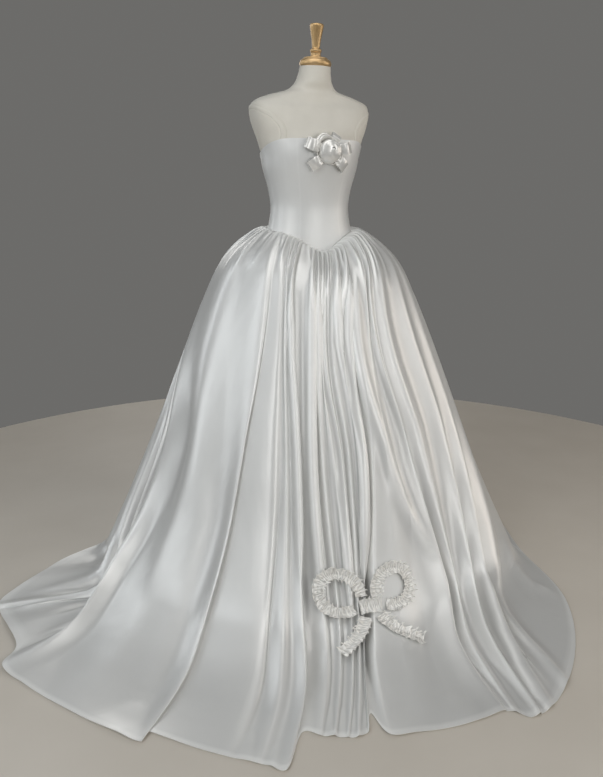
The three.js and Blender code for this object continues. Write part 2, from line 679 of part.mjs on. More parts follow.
// A flat ribbon loop seen from its edge: out along the bodice, round its
// end and back under the rose.
function ribbonGeometry(long) {
  const round = RIBBON_RISE / 2;
  const middle = RIBBON_GAP + round;
  const shape = new THREE.Shape();
  shape.moveTo(RIBBON_START, RIBBON_GAP);
  shape.lineTo(long - round, RIBBON_GAP);
  shape.absarc(long - round, middle, round, -Math.PI / 2, Math.PI / 2, false);
  shape.lineTo(RIBBON_START, RIBBON_GAP + RIBBON_RISE);
  shape.lineTo(RIBBON_START, RIBBON_GAP + RIBBON_RISE - RIBBON_WALL);
  shape.lineTo(long - round, RIBBON_GAP + RIBBON_RISE - RIBBON_WALL);
  shape.absarc(long - round, middle, round - RIBBON_WALL, Math.PI / 2, -Math.PI / 2, true);
  shape.lineTo(RIBBON_START, RIBBON_GAP + RIBBON_WALL);
  const options = { depth: RIBBON_WIDTH, bevelEnabled: false, curveSegments: 6 };
  const geometry = new THREE.ExtrudeGeometry(shape, options);
  geometry.translate(0, 0, -RIBBON_WIDTH / 2);
  return geometry.rotateX(Math.PI / 2);
}

function addRosette() {
  const frame = rosetteFrame();
  dress.add(frame);
  const profile = ROSE_CORE.map(([radius, height]) => new THREE.Vector2(radius, height));
  const core = new THREE.LatheGeometry(profile, ROUND_SEGMENTS).rotateX(Math.PI / 2);
  frame.add(addPiece('rose_core', core, satin));
  for (const petal of PETALS) frame.add(addPiece(petal.name, petalGeometry(petal), satin));
  for (const loop of RIBBON_LOOPS) {
    const ribbon = addPiece(loop.name, ribbonGeometry(loop.long), satin);
    ribbon.rotation.set(0, Math.atan2(loop.dip, loop.long), radians(loop.points), 'ZYX');
    frame.add(ribbon);
  }
}

// ----------------------------------------------------------- dress form

function turned(rows) {
  const profile = rows.map(([radius, height]) => new THREE.Vector2(radius, height));
  return new THREE.LatheGeometry(profile, ROUND_SEGMENTS).rotateX(Math.PI / 2);
}

function torsoRing(height) {
  const tilt = NECK_TILT * THREE.MathUtils.smoothstep(height, NECK_FOOT, NECK_TOP);
  const ring = [];
  for (let i = 0; i < TORSO_COLUMNS; i += 1) {
    const point = figurePoint(-180 + 360 * i / TORSO_COLUMNS, height, 0);
    point.z += (point.y - figureAt(height).lean) * Math.tan(radians(tilt));
    ring.push(point);
  }
  return ring;
}

// An oval plate that follows the shoulder's end, between two moved-out
// copies of the torso's own surface.
function addArmPlate(name, side) {
  const { angle, height, halfAngle, halfHeight, tilt, seat, thick, rings: count, steps } = ARM_PLATE;
  const ring = (rho, ease) => Array.from({ length: steps }, (_, k) => {
    const turn = 2 * Math.PI * k / steps;
    const up = rho * Math.sin(turn);
    const around = angle + halfAngle * rho * Math.cos(turn) + tilt * up;
    return figurePoint(side * around, height + halfHeight * up, ease);
  });
  const sections = [];
  for (let k = 1; k <= count; k += 1) sections.push(ring(k / count, seat + thick));
  for (let k = count; k >= 1; k -= 1) sections.push(ring(k / count, seat));
  addPiece(name, loftSolid(sections), formLinen);
}

function addForm() {
  addPiece('form_torso', loftSolid(TORSO_LEVELS.map(torsoRing)), formLinen);
  addArmPlate('form_arm_plate_left', 1);
  addArmPlate('form_arm_plate_right', -1);
  const head = new THREE.Group();
  const neck = figureAt(NECK_TOP);
  head.position.set(0, neck.lean, NECK_TOP);
  head.rotation.x = radians(NECK_TILT);
  const cap = addPiece('neck_cap', turned(NECK_CAP), gold);
  cap.position.z = TOUCH_GAP;
  const finial = addPiece('finial', turned(FINIAL), gold);
  finial.position.z = NECK_CAP.at(-1)[1] + 2 * TOUCH_GAP;
  head.add(cap, finial);
  dress.add(head);
}

function addStand() {
  addPiece('stand_base', turned(STAND_BASE), standMetal);
  const foot = STAND_BASE.at(-1)[1] + TOUCH_GAP;
  const top = TORSO_LEVELS[0] - TOUCH_GAP;
  const pole = new THREE.CylinderGeometry(POLE_RADIUS, POLE_RADIUS, top - foot, ROUND_SEGMENTS);
  pole.rotateX(Math.PI / 2);
  addPiece('stand_pole', pole, standMetal).position.z = (foot + top) / 2;
}

addBodice();
addSkirt();
addRuffleBow();
addRosette();
addForm();
addStand();

export default dress;
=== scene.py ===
"""A strapless a-line wedding dress in satin, standing on its limbless dress form.

The tables repeat the sizes of the CAD part, in millimetres. The meshes are in metres, in the CAD's own
frame: +Z up, the front along -Y, the wearer's left along +X. An angle round the body is in degrees, 0 at
the front and +90 at the wearer's left. A grid of points has its rows from top to bottom and its columns
anticlockwise seen from above.
"""

import math

import bpy
import numpy as np
from mathutils import Matrix, Vector


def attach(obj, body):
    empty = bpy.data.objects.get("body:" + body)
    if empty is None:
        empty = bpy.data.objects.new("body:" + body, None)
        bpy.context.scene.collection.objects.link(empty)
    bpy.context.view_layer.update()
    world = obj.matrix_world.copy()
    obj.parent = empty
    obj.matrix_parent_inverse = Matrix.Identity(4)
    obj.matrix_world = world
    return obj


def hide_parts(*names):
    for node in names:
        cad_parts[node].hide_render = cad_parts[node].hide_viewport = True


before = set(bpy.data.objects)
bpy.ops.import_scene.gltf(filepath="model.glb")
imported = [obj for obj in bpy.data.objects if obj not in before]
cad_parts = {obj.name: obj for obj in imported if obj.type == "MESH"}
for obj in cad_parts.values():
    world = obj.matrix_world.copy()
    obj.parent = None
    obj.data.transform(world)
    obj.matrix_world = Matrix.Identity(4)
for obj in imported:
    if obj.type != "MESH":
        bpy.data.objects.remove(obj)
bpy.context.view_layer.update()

MM = 0.001

# ---- sizes

SATIN_WALL = 2.0
# Points across a ruffle, the rosette's core and a petal.
SHEET_COLUMNS = 17
CLOTH_THICK = 1.3
BODICE_EASE = 6.0
SEAM_GAP = 0.3
WAIST_SEAM_GAP = 0.7
TOP_EDGE_FRONT = 1284.0
TOP_EDGE_DIP = 42.0
# The angle where the top edge starts to dip, and over how many degrees.
TOP_DIP_FROM, TOP_DIP_OVER = 45.0, 70.0
WAIST_SEAM_SIDE = 1033.0
BASQUE_DROP = 73.0
BASQUE_WIDTH = 45.0
CONE_FOOT = 673.0

FIGURE_COLUMNS = ("height", "half", "front", "back", "square", "lean")
FIGURE = (
    (760, 150, 92, 108, 2.0, 0),
    (790, 165, 102, 122, 2.0, 0),
    (870, 170, 106, 128, 2.0, 0),
    (950, 154, 102, 112, 2.0, 0),
    (1010, 133, 96, 98, 2.0, 0),
    (1060, 121, 90, 88, 2.0, 0),
    (1100, 118, 90, 86, 2.0, 0),
    (1150, 126, 100, 92, 2.0, 0),
    (1205, 141, 117, 98, 2.0, 0),
    (1245, 148, 125, 104, 2.05, 0),
    (1290, 160, 118, 108, 2.2, 0),
    (1335, 174, 99, 108, 2.7, 0),
    (1372, 180, 82, 98, 3.2, 0),
    (1391, 178, 69, 86, 3.0, -2),
    (1403, 160, 64, 77, 2.5, -4),
    (1413, 131, 62, 71, 2.2, -6),
    (1426, 82, 57, 60, 2.0, -12),
    (1444, 58, 55, 57, 2.0, -25),
    (1466, 49, 49, 50, 2.0, -36),
    (1490, 45, 45, 45, 2.0, -44),
)

RING_COLUMNS = ("track", "height", "cone", "spread")
RINGS = (
    (0.00, 1.000, 0, 0),
    (0.16, 1.003, 158, 0),
    (0.36, 0.981, 196, 0),
    (0.56, 0.945, 241, 0),
    (0.76, 0.895, 283, 0),
    (0.96, 0.825, 319, 0),
    (1.30, 0.690, 378, 0),
    (1.72, 0.545, 436, 0),
    (2.15, 0.395, 495, 0),
    (2.55, 0.250, 557, 0),
    (2.86, 0.145, 604, 0.015),
    (3.12, 0.078, 637, 0.07),
    (3.36, 0.037, 660, 0.21),
    (3.60, 0.013, 670, 0.44),
    (3.82, 0.003, 673, 0.72),
    (4.00, 0.000, 673, 1.00),
)

# The folds round the skirt, one row for each crest (depth above zero) or trough (below zero). The first
# six columns are the fold's angle at the waist seam, high, halfway, low, at the foot of the cone and at
# the hem. Reach is the hem's radius. Sharp is how far the fold is pinched, and over how far a crest leans
# across its neighbour, towards the wearer's left. Late is 1 where the cloth drops to the floor before it
# spreads and 0 where it flares out gently.
FOLD_COLUMNS = ("waist", "high", "mid", "low", "foot", "hem", "mid_depth", "low_depth", "reach", "sharp",
                "over", "late")
FOLDS = (
    (-176, -176, -176, -175, -174.5, -174, -14, -18, 780, 0.5, 0, 0.6),
    (-169, -169.5, -168, -167, -166.5, -166, 16, 20, 792, 0.2, 3, 0.6),
    (-162, -163, -160, -158, -157.5, -157, -12, -16, 780, 0.5, 0, 0.6),
    (-155, -157, -152, -149, -148.5, -148, 15, 22, 770, 0.0, -4, 0.6),
    (-148, -151, -144.5, -140.5, -140, -140, -15, -18, 742, 0.6, 0, 0.6),
    (-141, -145, -137, -132, -131.5, -131, 17, 22, 712, 0.3, 6, 0.6),
    (-134.5, -139, -129.5, -124, -122.5, -122, -12, -14, 684, 0.5, 0, 0.6),
    (-128.5, -133.5, -122, -116, -114, -113, 13, 18, 662, 0.0, 0, 0.6),
    (-123, -128.5, -115, -108.5, -106.5, -106, -10, -12, 655, 0.5, 0, 1),
    (-118.5, -124.5, -109.5, -103, -100, -101, 7, 12, 715, 0.2, 0, 1),
    (-115, -121.5, -105, -98.5, -93.5, -95.5, -6, -10, 815, 0.4, 0, 1),
    (-112, -119, -101, -94, -86, -89, 6, 16, 900, 0.4, 4, 1),
    (-109.5, -116.5, -97, -89.5, -78.5, -84, -5, -12, 985, 0.8, 0, 1),
    (-107, -114, -93.5, -86, -75, -81.8, 5, 22, 1003, 0.6, 8, 1),
    (-104.5, -111.5, -90, -83, -72, -79.6, -4, -14, 1003, 0.8, 0, 1),
    (-102, -109.5, -87, -80.3, -69.8, -74.5, 5, 18, 1000, 0.3, 6, 1),
    (-100, -108, -84.5, -78, -68.3, -68.5, -5, -24, 1010, 0.8, 0, 1),
    (-97, -105, -80.7, -74.8, -66, -64.6, 7, 24, 1068, 0.2, -12, -0.2),
    (-89, -92, -71.3, -70, -62.5, -60, -6, -8, 1064, 0.0, 0, -0.25),
    (-78, -73.6, -64.3, -62, -55, -52, 7, 9, 1060, 0.1, 0, -0.25),
    (-67, -59.5, -51.6, -48.6, -44.8, -44, -8, -9, 1066, 0.0, 0, -0.25),
    (-57, -44.5, -44.3, -43.9, -41.1, -40.7, 7, 12, 1072, 0.3, 13, -0.25),
    (-51, -41, -43, -43, -40.6, -40.1, -3, -5, 1040, 0.6, 0, -0.25),
    (-45, -35.5, -33.2, -31, -29.8, -31, 6, 8, 1060, 0.4, 0, -0.25),
    (-41, -33.4, -30, -29.2, -27.7, -28.3, -4, -5, 1067, 0.8, 0, -0.25),
    (-37.5, -32.4, -28.3, -26.3, -25.2, -26.3, 6, 7, 1074, 0.6, 0, -0.25),
    (-35, -31.3, -27, -24.8, -23.6, -25, -1, -1, 1078, 0.2, 0, -0.25),
    (-33, -30, -25.6, -23.1, -21.9, -23.6, 9, 14, 1086, 0.5, 9, -0.2),
    (-28, -27.5, -24.3, -22.2, -21.3, -21.8, -5, -8, 982, 0.4, 0, 0),
    (-20, -20.2, -20.1, -17.9, -17.8, -19.6, 8, 9, 990, 1.2, 2, 0),
    (-15, -18.6, -18.7, -16.2, -16.6, -18.6, -4, -4, 993, 0, 0, 0),
    (-10, -17, -16.6, -14.5, -15.4, -17.8, 7, 9, 994, 1.4, 2, 0),
    (-4, -15.4, -13.8, -12.8, -14.4, -17, -4, -4, 996, 0, 0, 0),
    (1, -13.8, -10.6, -11.4, -13.2, -16.2, 8, 10, 998, 1.4, 2, 0),
    (5, -11.8, -9.5, -10.6, -12.6, -15.6, -4, -3, 999, 0, 0, 0),
    (9, -9.7, -8.2, -9.7, -12, -15, 8, 10, 1000, 1.2, 2, 0),
    (14, -5.5, -5.6, -8.4, -10.9, -14, -4, -3, 992, 0, 0, 0),
    (19, -1.6, -3.4, -8.3, -11, -13.5, 9, 11, 982, 1.0, 2, 0),
    (24, 0.6, -1.5, -7.2, -10.2, -12.4, -8, -20, 930, 0.8, 0, 0),
    (28, 3.5, 0.6, -5.4, -8.8, -11, 7, 11, 1002, 0.8, 0, 0),
    (31.5, 8.3, 4.6, 0.4, -3.8, -7.5, 4, 8, 1006, 0.0, 0, 0),
    (35, 10, 9.5, 7.5, 2, -1.5, -6, -5, 1012, 0.0, 0, 0),
    (39, 11.2, 13.5, 14, 7.3, 3.9, 9, 14, 1008, 0.8, 6, 0),
    (45, 14.2, 15.6, 15.6, 8.7, 5, -7, -12, 1012, 0.6, 0, 0),
    (53, 19.5, 20.5, 17.6, 10.4, 5.8, 8, 11, 1024, 0.6, 0, 0),
    (61, 27, 26.8, 20, 12, 6.7, -10, -12, 1050, 0.4, 0, 0),
    (68, 36, 33, 22.7, 13.8, 7.6, 10, 20, 1055, 0.6, 8, 0),
    (76, 43, 39, 25.3, 15.8, 8.6, -8, -14, 1052, 0.5, 0, 0),
    (84, 51, 45, 28.8, 18.6, 9.8, 10, 20, 1050, 0.5, 6, 0),
    (91, 58, 52, 33, 23, 12.6, -9, -14, 1036, 0.6, 0, 0.5),
    (98, 66, 60, 42, 29, 15.8, 9, 14, 1016, 0.4, 0, 1),
    (104, 72, 66, 52, 34.5, 19.5, -6, -4, 990, 1.0, 0, 1),
    (110, 80, 75, 66, 50, 38, 9, 9, 858, 0.0, 0, 1),
    (114, 86, 82, 78, 66, 56, -8, -8, 720, 0.4, 0, 1),
    (118, 92, 89, 87, 80, 74, 9, 12, 688, 0.2, 0, 1),
    (122, 99, 96, 95, 91, 88, -11, -14, 705, 0.6, 0, 0.6),
    (130, 108, 106, 105, 103, 101, 15, 20, 740, 0.3, 5, 0.6),
    (138, 120, 118, 118, 116.5, 115, -13, -16, 770, 0.6, 0, 0.6),
    (146, 132, 131, 130, 129.5, 129, 16, 20, 790, 0.2, -4, 0.6),
    (154, 144, 143, 143, 142.5, 142, -13, -15, 795, 0.5, 0, 0.6),
    (162, 155, 154, 154, 154, 154, 14, 18, 805, 0.3, 3, 0.6),
    (169, 165, 165, 165, 165, 165, -12, -14, 798, 0.6, 0, 0.6),
    (176.5, 175, 175, 175.5, 175.5, 175.5, 13, 16, 800, 0.2, 0, 0.6),
)

TRACK_LEVELS = (0, 1, 2, 3, 3.5, 4)
HIGH_SHARE = 0.55
FOOT_SHARE = 0.8
HEM_SHARE = 0.35
LATE_POWER = 1.3

# The skirt's panels, and the folds where the seams before, between and after them lie.
SKIRT_PANELS = ("skirt_back_right", "skirt_side_right", "skirt_front", "skirt_side_left", "skirt_back_left")
SKIRT_SEAMS = (0, 8, 22, 43, 53, 63)
STEPS_PER_FOLD = 10
# Where the rows lie down the skirt: track from, track to, rows.
SKIRT_ROWS = ((0.0, 0.96, 64), (0.96, 2.86, 76), (2.86, 4.0, 64))

# Loose creases of the cloth: fold number and track of its start and of its end, width, and height, which is
# above zero for a ridge.
CREASES = (
    (10.5, 3.15, 12.0, 3.94, 26, 11),
    (11.7, 3.25, 12.8, 3.90, 13, -6),
    (12.7, 3.20, 14.0, 3.97, 19, 14),
    (13.5, 3.30, 14.9, 3.88, 12, -6),
    (15.0, 3.25, 16.0, 3.96, 17, 10),
    (11.2, 3.52, 13.4, 3.70, 13, 6),
    (14.2, 3.62, 15.9, 3.74, 11, 5),
    (18.3, 1.70, 18.9, 3.45, 34, -5),
    (19.5, 2.10, 19.9, 3.72, 40, 5),
    (24.4, 2.00, 24.8, 3.60, 22, 3),
    (27.1, 0.60, 27.0, 2.80, 18, 9),
    (29.2, 0.42, 29.0, 3.10, 14, 13),
    (31.3, 0.42, 33.0, 3.10, 15, 13),
    (35.2, 0.42, 37.6, 2.90, 17, 13),
    (37.0, 0.45, 41.7, 2.80, 22, 15),
    (42.6, 1.60, 42.9, 3.30, 26, -4),
    (48.0, 3.05, 47.4, 3.97, 15, 8),
    (49.3, 3.10, 48.9, 3.97, 13, 10),
    (50.4, 3.10, 50.2, 3.96, 14, 8),
    (51.6, 3.20, 51.9, 3.95, 18, 7),
    (54.4, 3.00, 54.1, 3.94, 20, 7),
    (57.0, 3.15, 57.3, 3.96, 16, 9),
    (59.6, 2.90, 59.3, 3.90, 22, -6),
    (61.2, 3.20, 61.5, 3.96, 17, 8),
    (1.5, 3.10, 1.2, 3.95, 18, 8),
    (3.6, 3.20, 3.9, 3.96, 15, 9),
    (6.2, 3.00, 6.0, 3.94, 20, 8),
    (8.3, 3.20, 8.8, 3.96, 17, 9),
)
CREASE_POINTS = 240
CREASE_SMOOTH = 15
# How many folds beyond its own a crease reaches.
CREASE_MARGIN = 3

# The hem's loose edge: how far it curls up off the floor, and over which tracks.
HEM_CURL = 5.0
CURL_FROM, CURL_OVER = 3.86, 0.14
# The tracks over which a crest comes to lean, and the least radius used for its angle.
LEAN_FROM, LEAN_OVER = 0.6, 1.2
LEAN_RADIUS = 100.0

# Small gathers under the waist seam: the range of each random draw, in degrees and millimetres. Width is a
# share of the gap. Within about GATHER_FRONT degrees of the front they are closer, taller and longer.
GATHER_SEED = 11
GATHER_GAP = (4.4, 8.6)
GATHER_WIDTH = (0.2, 0.3)
GATHER_LENGTH = (90, 280)
GATHER_FRONT_LENGTH = (20, 260)
GATHER_HEIGHT = (4.0, 8.0)
GATHER_DRIFT = (-0.004, 0.004)
GATHER_FRONT = 48.0
GATHER_VALLEY = 0.45

# The bodice's panels, and the angles of the seams before, between and after them.
BODICE_PANELS = (
    "bodice_back_right", "bodice_side_back_right", "bodice_side_front_right", "bodice_center_front",
    "bodice_side_front_left", "bodice_side_back_left", "bodice_back_left",
)
BODICE_SEAMS = (-180, -126, -81, -36, 36, 81, 126, 180)
BODICE_STEP = 1.5
BODICE_ROWS = 70

# The ruffle bow: its middle on the skirt, and the gathered strip it is laid from.
BOW_ANGLE = -6.9
BOW_ABOVE_HEM = 380.0
BOW_RADIUS = 632.0
RUFFLE_WIDTH = 32.0
RUFFLE_STEP = 1.3
RUFFLE_WALL = 0.6
RUFFLE_PROBE = 12.0
RUFFLE_SEED = 3
# How far apart frills stand on one edge and on the other, puckers in the middle, and fuller stretches.
RUFFLE_PERIODS = (17.0, 14.0, 6.5, 31.0)
# Their pace changes at even steps along the strip, within a range.
PACE_STEP, PACE_PAST_END = 9.0, 20.0
PACE_RANGE = (0.45, 1.7)
# Radius at the hem and at the waist of the profile along which the bow's height is measured.
FRONT_REACH, FRONT_WAIST = 1000.0, 126.4
# The smooth surface over the folds that the bow lies on: its angles, and how far a crest reaches.
ENVELOPE_FROM, ENVELOPE_TO, ENVELOPE_STEP = -32.0, 24.0, 0.4
CREST_REACH = 1.6
ENVELOPE_SMOOTH = 2
# Name, the way the loop points from the middle (anticlockwise from the wearer's left), length, width, and
# how far to the wearer's left of the middle it starts.
BOW_LOOPS = (
    ("ruffle_loop_right", 148, 114, 98, -30),
    ("ruffle_loop_left", 36, 104, 90, 27),
)
LOOP_START = 0.06
LOOP_POINTS, STRIP_POINTS = 90, 60
# Name, start, bend and end, across and up from the middle, and the strip's width.
BOW_STRIPS = (
    ("ruffle_knot", (-29, -11), (-1, -9), (28, -11), 42),
    ("ruffle_tail_right", (-20, -39), (-32, -84), (-88, -134), 32),
    ("ruffle_tail_left", (19, -39), (36, -80), (96, -122), 32),
)

# The rosette: its middle on the bodice, then its core, petals and ribbon.
ROSE_ANGLE = 3.0
ROSE_HEIGHT = 1246.0
# How far round the bodice is measured, in how many steps, and over which angle and height its slope is.
ROSE_SPAN, ROSE_STEPS = 60.0, 241
ROSE_PROBE = (0.5, 2.0)
CORE_RADIUS = 33.0
CORE_TURNS = 3.2
CORE_FROM, CORE_FOOT = 2.2, 2.4
PETAL_FOOT, PETAL_CURL = 4.0, 4.5
ROSE_WALL = 0.8
RIBBON_START = 30.0
# Shares of a ribbon's length where its fold and its way back start, and of its rise that its fold reaches.
RIBBON_FOLD, RIBBON_BACK = 0.42, 0.60
RIBBON_BEND = 0.42
RIBBON_LOWEST = 1.6
# Points along each piece, and across a ribbon.
CORE_POINTS, PETAL_POINTS, RIBBON_POINTS = 300, 70, 120
RIBBON_COLUMNS = 15
# Petal: where it starts round the core, how far it reaches round, the radius of its foot and of its lip,
# and its height.
PETALS = (
    ("rose_petal_1", 88, 96, 38, 51, 25),
    ("rose_petal_2", 60, 136, 32, 42, 27),
    ("rose_petal_3", 280, 124, 31, 38, 17),
)
# Ribbon loop: the way it points from the middle, its length, its rise off the bodice, width and twist.
RIBBON_LOOPS = (
    ("ribbon_loop_upper_left", 60, 53, 17, 26, 20),
    ("ribbon_loop_left", 13, 68, 22, 27, -16),
    ("ribbon_loop_lower_left", -35, 70, 15, 29, 10),
    ("ribbon_loop_right", 160, 72, 20, 27, 24),
    ("ribbon_loop_lower_right", 215, 68, 14, 30, -8),
)

NECK_FOOT = 1436.0
NECK_TOP = 1490.0
NECK_TILT = 6.0
# Where the rows lie down the torso: height from, height to, rows.
TORSO_ROWS = ((NECK_TOP, 1396.0, 60), (1394.0, FIGURE[0][0], 180))
TORSO_COLUMNS = 180

# The form's arm plates: middle angle and height of the oval, its half sizes, and how far it stands out.
PLATE_ANGLE = 89.0
PLATE_HEIGHT = 1316.0
PLATE_HALF_ANGLE = 38.5
PLATE_HALF_HEIGHT = 70.0
PLATE_TILT = 12.0
PLATE_SEAT = 0.4
PLATE_THICK = 2.2
# Shares of the plate's radius where its rim starts to round off and where its sewn ring lies.
PLATE_RIM, PLATE_RING = 0.94, 0.84
PLATE_RING_WIDTH, PLATE_RING_DEPTH = 0.015, 1.3
PLATE_ROWS = ((0, 0.78, 22), (0.8, 0.88, 9), (0.9, 1.0, 14))

# Turned parts: radius and height rows of each outline, in millimetres from the part's own foot.
NECK_CAP = (
    (0, 0), (42, 0), (45.5, 2.5), (46.5, 7), (45.5, 12), (42, 17), (37, 20), (34.5, 21), (34, 23), (31, 24),
    (0, 24),
)
FINIAL = (
    (0, 0), (17, 0), (17, 2.5), (14.5, 5), (14.5, 12), (16.5, 15), (16.5, 20), (12.5, 23),
    (11.5, 26), (13, 42), (16.5, 62), (19.5, 78), (20, 83), (18, 87), (12, 88.5), (0, 89),
)
STAND_BASE = ((0, 0), (166, 0), (170, 4), (170, 9), (162, 14), (40, 18), (22, 26), (0, 26))
POLE_RADIUS = 12.5
# What separates two parts of the form that stand on each other.
FORM_GAP = 0.3
# Points round a turned part, and the radius at which a lid closes it.
TURNED_STEPS = 96
TURNED_LEAST = 0.4


# ---- helpers

def named(columns, rows):
    return {column: np.array([row[i] for row in rows], float) for i, column in enumerate(columns)}


def smooth(t):
    t = np.clip(t, 0.0, 1.0)
    return t * t * (3 - 2 * t)


def lerp(a, b, t):
    return a + (b - a) * t


def cubic(start, end, start_slope, end_slope, t):
    bend = start_slope * t * (1 - t) ** 2 - end_slope * t * t * (1 - t)
    return start * (1 + 2 * t) * (1 - t) ** 2 + end * t * t * (3 - 2 * t) + bend


def smooth_through(knots, values, x):
    """The values at x of the smooth curve through the knots. Values may have columns of their own."""
    knots, values, x = (np.asarray(part, float) for part in (knots, values, x))
    flat = values.reshape(len(knots), -1)
    tangents = np.empty_like(flat)
    tangents[1:-1] = (flat[2:] - flat[:-2]) / (knots[2:] - knots[:-2])[:, None]
    tangents[0] = (flat[1] - flat[0]) / (knots[1] - knots[0])
    tangents[-1] = (flat[-1] - flat[-2]) / (knots[-1] - knots[-2])
    i = np.clip(np.searchsorted(knots, x.ravel()) - 1, 0, len(knots) - 2)
    span = (knots[i + 1] - knots[i])[:, None]
    t = np.clip((x.ravel() - knots[i])[:, None] / span, 0, 1)
    curve = cubic(flat[i], flat[i + 1], span * tangents[i], span * tangents[i + 1], t)
    return curve.reshape(x.shape + values.shape[1:])


def outwards(angle):
    """The level unit vector out of the body at an angle."""
    turn = np.radians(angle)
    return np.stack([np.sin(turn), -np.cos(turn)], -1)


def ringed(angle, radius, height):
    """Points at an angle round the body, a radius and a height."""
    out = outwards(angle)
    return np.stack([out[..., 0] * radius, out[..., 1] * radius, height + 0 * radius], -1)


def unit(vectors):
    return vectors / np.maximum(np.linalg.norm(vectors, axis=-1, keepdims=True), 1e-9)


def grid_normals(points):
    """Unit normals of a grid of points, out of the cloth."""
    return unit(np.cross(np.gradient(points, axis=0), np.gradient(points, axis=1)))


def box_mean(values, reach, axis):
    """A running mean over reach places on both sides."""
    kernel = np.ones(2 * reach + 1) / (2 * reach + 1)
    pad = [(reach, reach) if i == axis else (0, 0) for i in range(values.ndim)]
    padded = np.pad(values, pad, "edge")
    return np.apply_along_axis(lambda row: np.convolve(row, kernel, "valid"), axis, padded)


def grid_faces(rows, columns, closed=False):
    """Four-sided faces. A closed grid's last column meets its first."""
    j, i = np.meshgrid(np.arange(rows - 1), np.arange(columns if closed else columns - 1), indexing="ij")
    a = j * columns + i
    b = j * columns + (i + 1) % columns
    return np.stack([a, a + columns, b + columns, b], -1).reshape(-1, 4)


def tube_faces(rows, columns):
    """Faces of a closed grid, with a lid on its first row and on its last."""
    last = (rows - 1) * columns
    lids = (range(columns), range(last, last + columns)[::-1])
    return [*grid_faces(rows, columns, True), *lids]


def lengths_along(path):
    return np.append(0, np.cumsum(np.linalg.norm(np.diff(path, axis=0), axis=1)))


def turned_by(angle, x, y):
    c, d = math.cos(math.radians(angle)), math.sin(math.radians(angle))
    return c * x - d * y, d * x + c * y


def lifted(place, probe, lift):
    """The point place(0, 0) lifted off the surface that place(across, up) describes around it."""
    side = place(probe[0], 0) - place(-probe[0], 0)
    rise = place(0, probe[1]) - place(0, -probe[1])
    return place(0, 0) + unit(np.cross(side, rise)) * lift[..., None]


def add_object(name, data):
    thing = bpy.data.objects.new(name, data)
    bpy.context.scene.collection.objects.link(thing)
    return thing


def make_mesh(name, points, faces, uv=None):
    """A smooth mesh piece from points in millimetres."""
    mesh = bpy.data.meshes.new(name)
    flat = np.asarray(points, float).reshape(-1, 3) * MM
    mesh.from_pydata(flat.tolist(), [], [tuple(int(v) for v in face) for face in faces])
    mesh.polygons.foreach_set("use_smooth", np.ones(len(mesh.polygons), bool))
    if uv is not None:
        layer = mesh.uv_layers.new(name="Cloth")
        corner = np.empty(len(mesh.loops), np.int32)
        mesh.loops.foreach_get("vertex_index", corner)
        layer.data.foreach_set("uv", np.asarray(uv, np.float32).reshape(-1, 2)[corner].ravel())
    mesh.update()
    return add_object(name, mesh)


def cloth_uv(points):
    """Lengths across and down the cloth, in metres, as texture coordinates."""
    down = np.linalg.norm(np.diff(points, axis=0), axis=-1)
    across = np.linalg.norm(np.diff(points, axis=1), axis=-1)
    v = np.vstack([np.zeros(points.shape[1]), np.cumsum(down, axis=0)])
    u = np.hstack([np.zeros((points.shape[0], 1)), np.cumsum(across, axis=1)])
    return np.stack([u - u[:, -1:] / 2, -v], -1) * MM


def mark_border(piece):
    """Keeps the shading of a sheet's face clear of its cut edge."""
    mesh = piece.data
    edge_of = np.empty(len(mesh.loops), np.int32)
    mesh.loops.foreach_get("edge_index", edge_of)
    faces_at = np.bincount(edge_of, minlength=len(mesh.edges))
    sharp = mesh.attributes.new("sharp_edge", "BOOLEAN", "EDGE")
    sharp.data.foreach_set("value", faces_at == 1)


def sheet_piece(name, points, thick=CLOTH_THICK, offset=-1.0):
    """A sheet through a grid of points, thickened inwards at offset -1, both ways at 0, outwards at 1."""
    piece = make_mesh(name, points, grid_faces(*points.shape[:2]), cloth_uv(points))
    mark_border(piece)
    solid = piece.modifiers.new("Cloth wall", "SOLIDIFY")
    solid.thickness = thick * MM
    solid.offset = offset
    solid.use_even_offset = False
    return piece


def finish_piece(piece, node, material):
    piece.data.materials.append(material)
    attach(piece, "root")
    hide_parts(node)
    return piece


def cloth_piece(node, points, slot, material, held, rests_on=(), **wall):
    """A piece of cloth on its node's form."""
    piece = finish_piece(sheet_piece(node + "_cloth", points, **wall), node, material)


# ---- materials

def new_material(name):
    material = bpy.data.materials.new(name)
    material.use_nodes = True
    nodes = material.node_tree.nodes
    shader = next(node for node in nodes if node.type == "BSDF_PRINCIPLED")
    return material, material.node_tree, shader


def plug(tree, node, inputs):
    """Links the inputs that come from another node, and sets the others."""
    for key, value in inputs.items():
        if isinstance(value, bpy.types.NodeSocket):
            tree.links.new(value, node.inputs[key])
        else:
            node.inputs[key].default_value = value


def add_node(tree, kind, inputs=None, **settings):
    node = tree.nodes.new(kind)
    for key, value in settings.items():
        setattr(node, key, value)
    plug(tree, node, inputs or {})
    return node


def object_place(tree):
    return add_node(tree, "ShaderNodeTexCoord").outputs["Object"]


def stretched(tree, vector, scale):
    return add_node(tree, "ShaderNodeMapping", {"Vector": vector, "Scale": scale}).outputs[0]


def noise(tree, vector, scale, detail):
    inputs = {"Vector": vector, "Scale": scale, "Detail": detail}
    return add_node(tree, "ShaderNodeTexNoise", inputs).outputs["Fac"]


def threads(tree, vector, direction):
    """Wavy bands across one direction, as fine as woven threads."""
    inputs = {"Vector": vector, "Scale": 420.0, "Distortion": 1.5}
    return add_node(tree, "ShaderNodeTexWave", inputs, bands_direction=direction).outputs["Fac"]


def product(tree, first, second):
    return add_node(tree, "ShaderNodeMath", {0: first, 1: second}, operation="MULTIPLY").outputs[0]


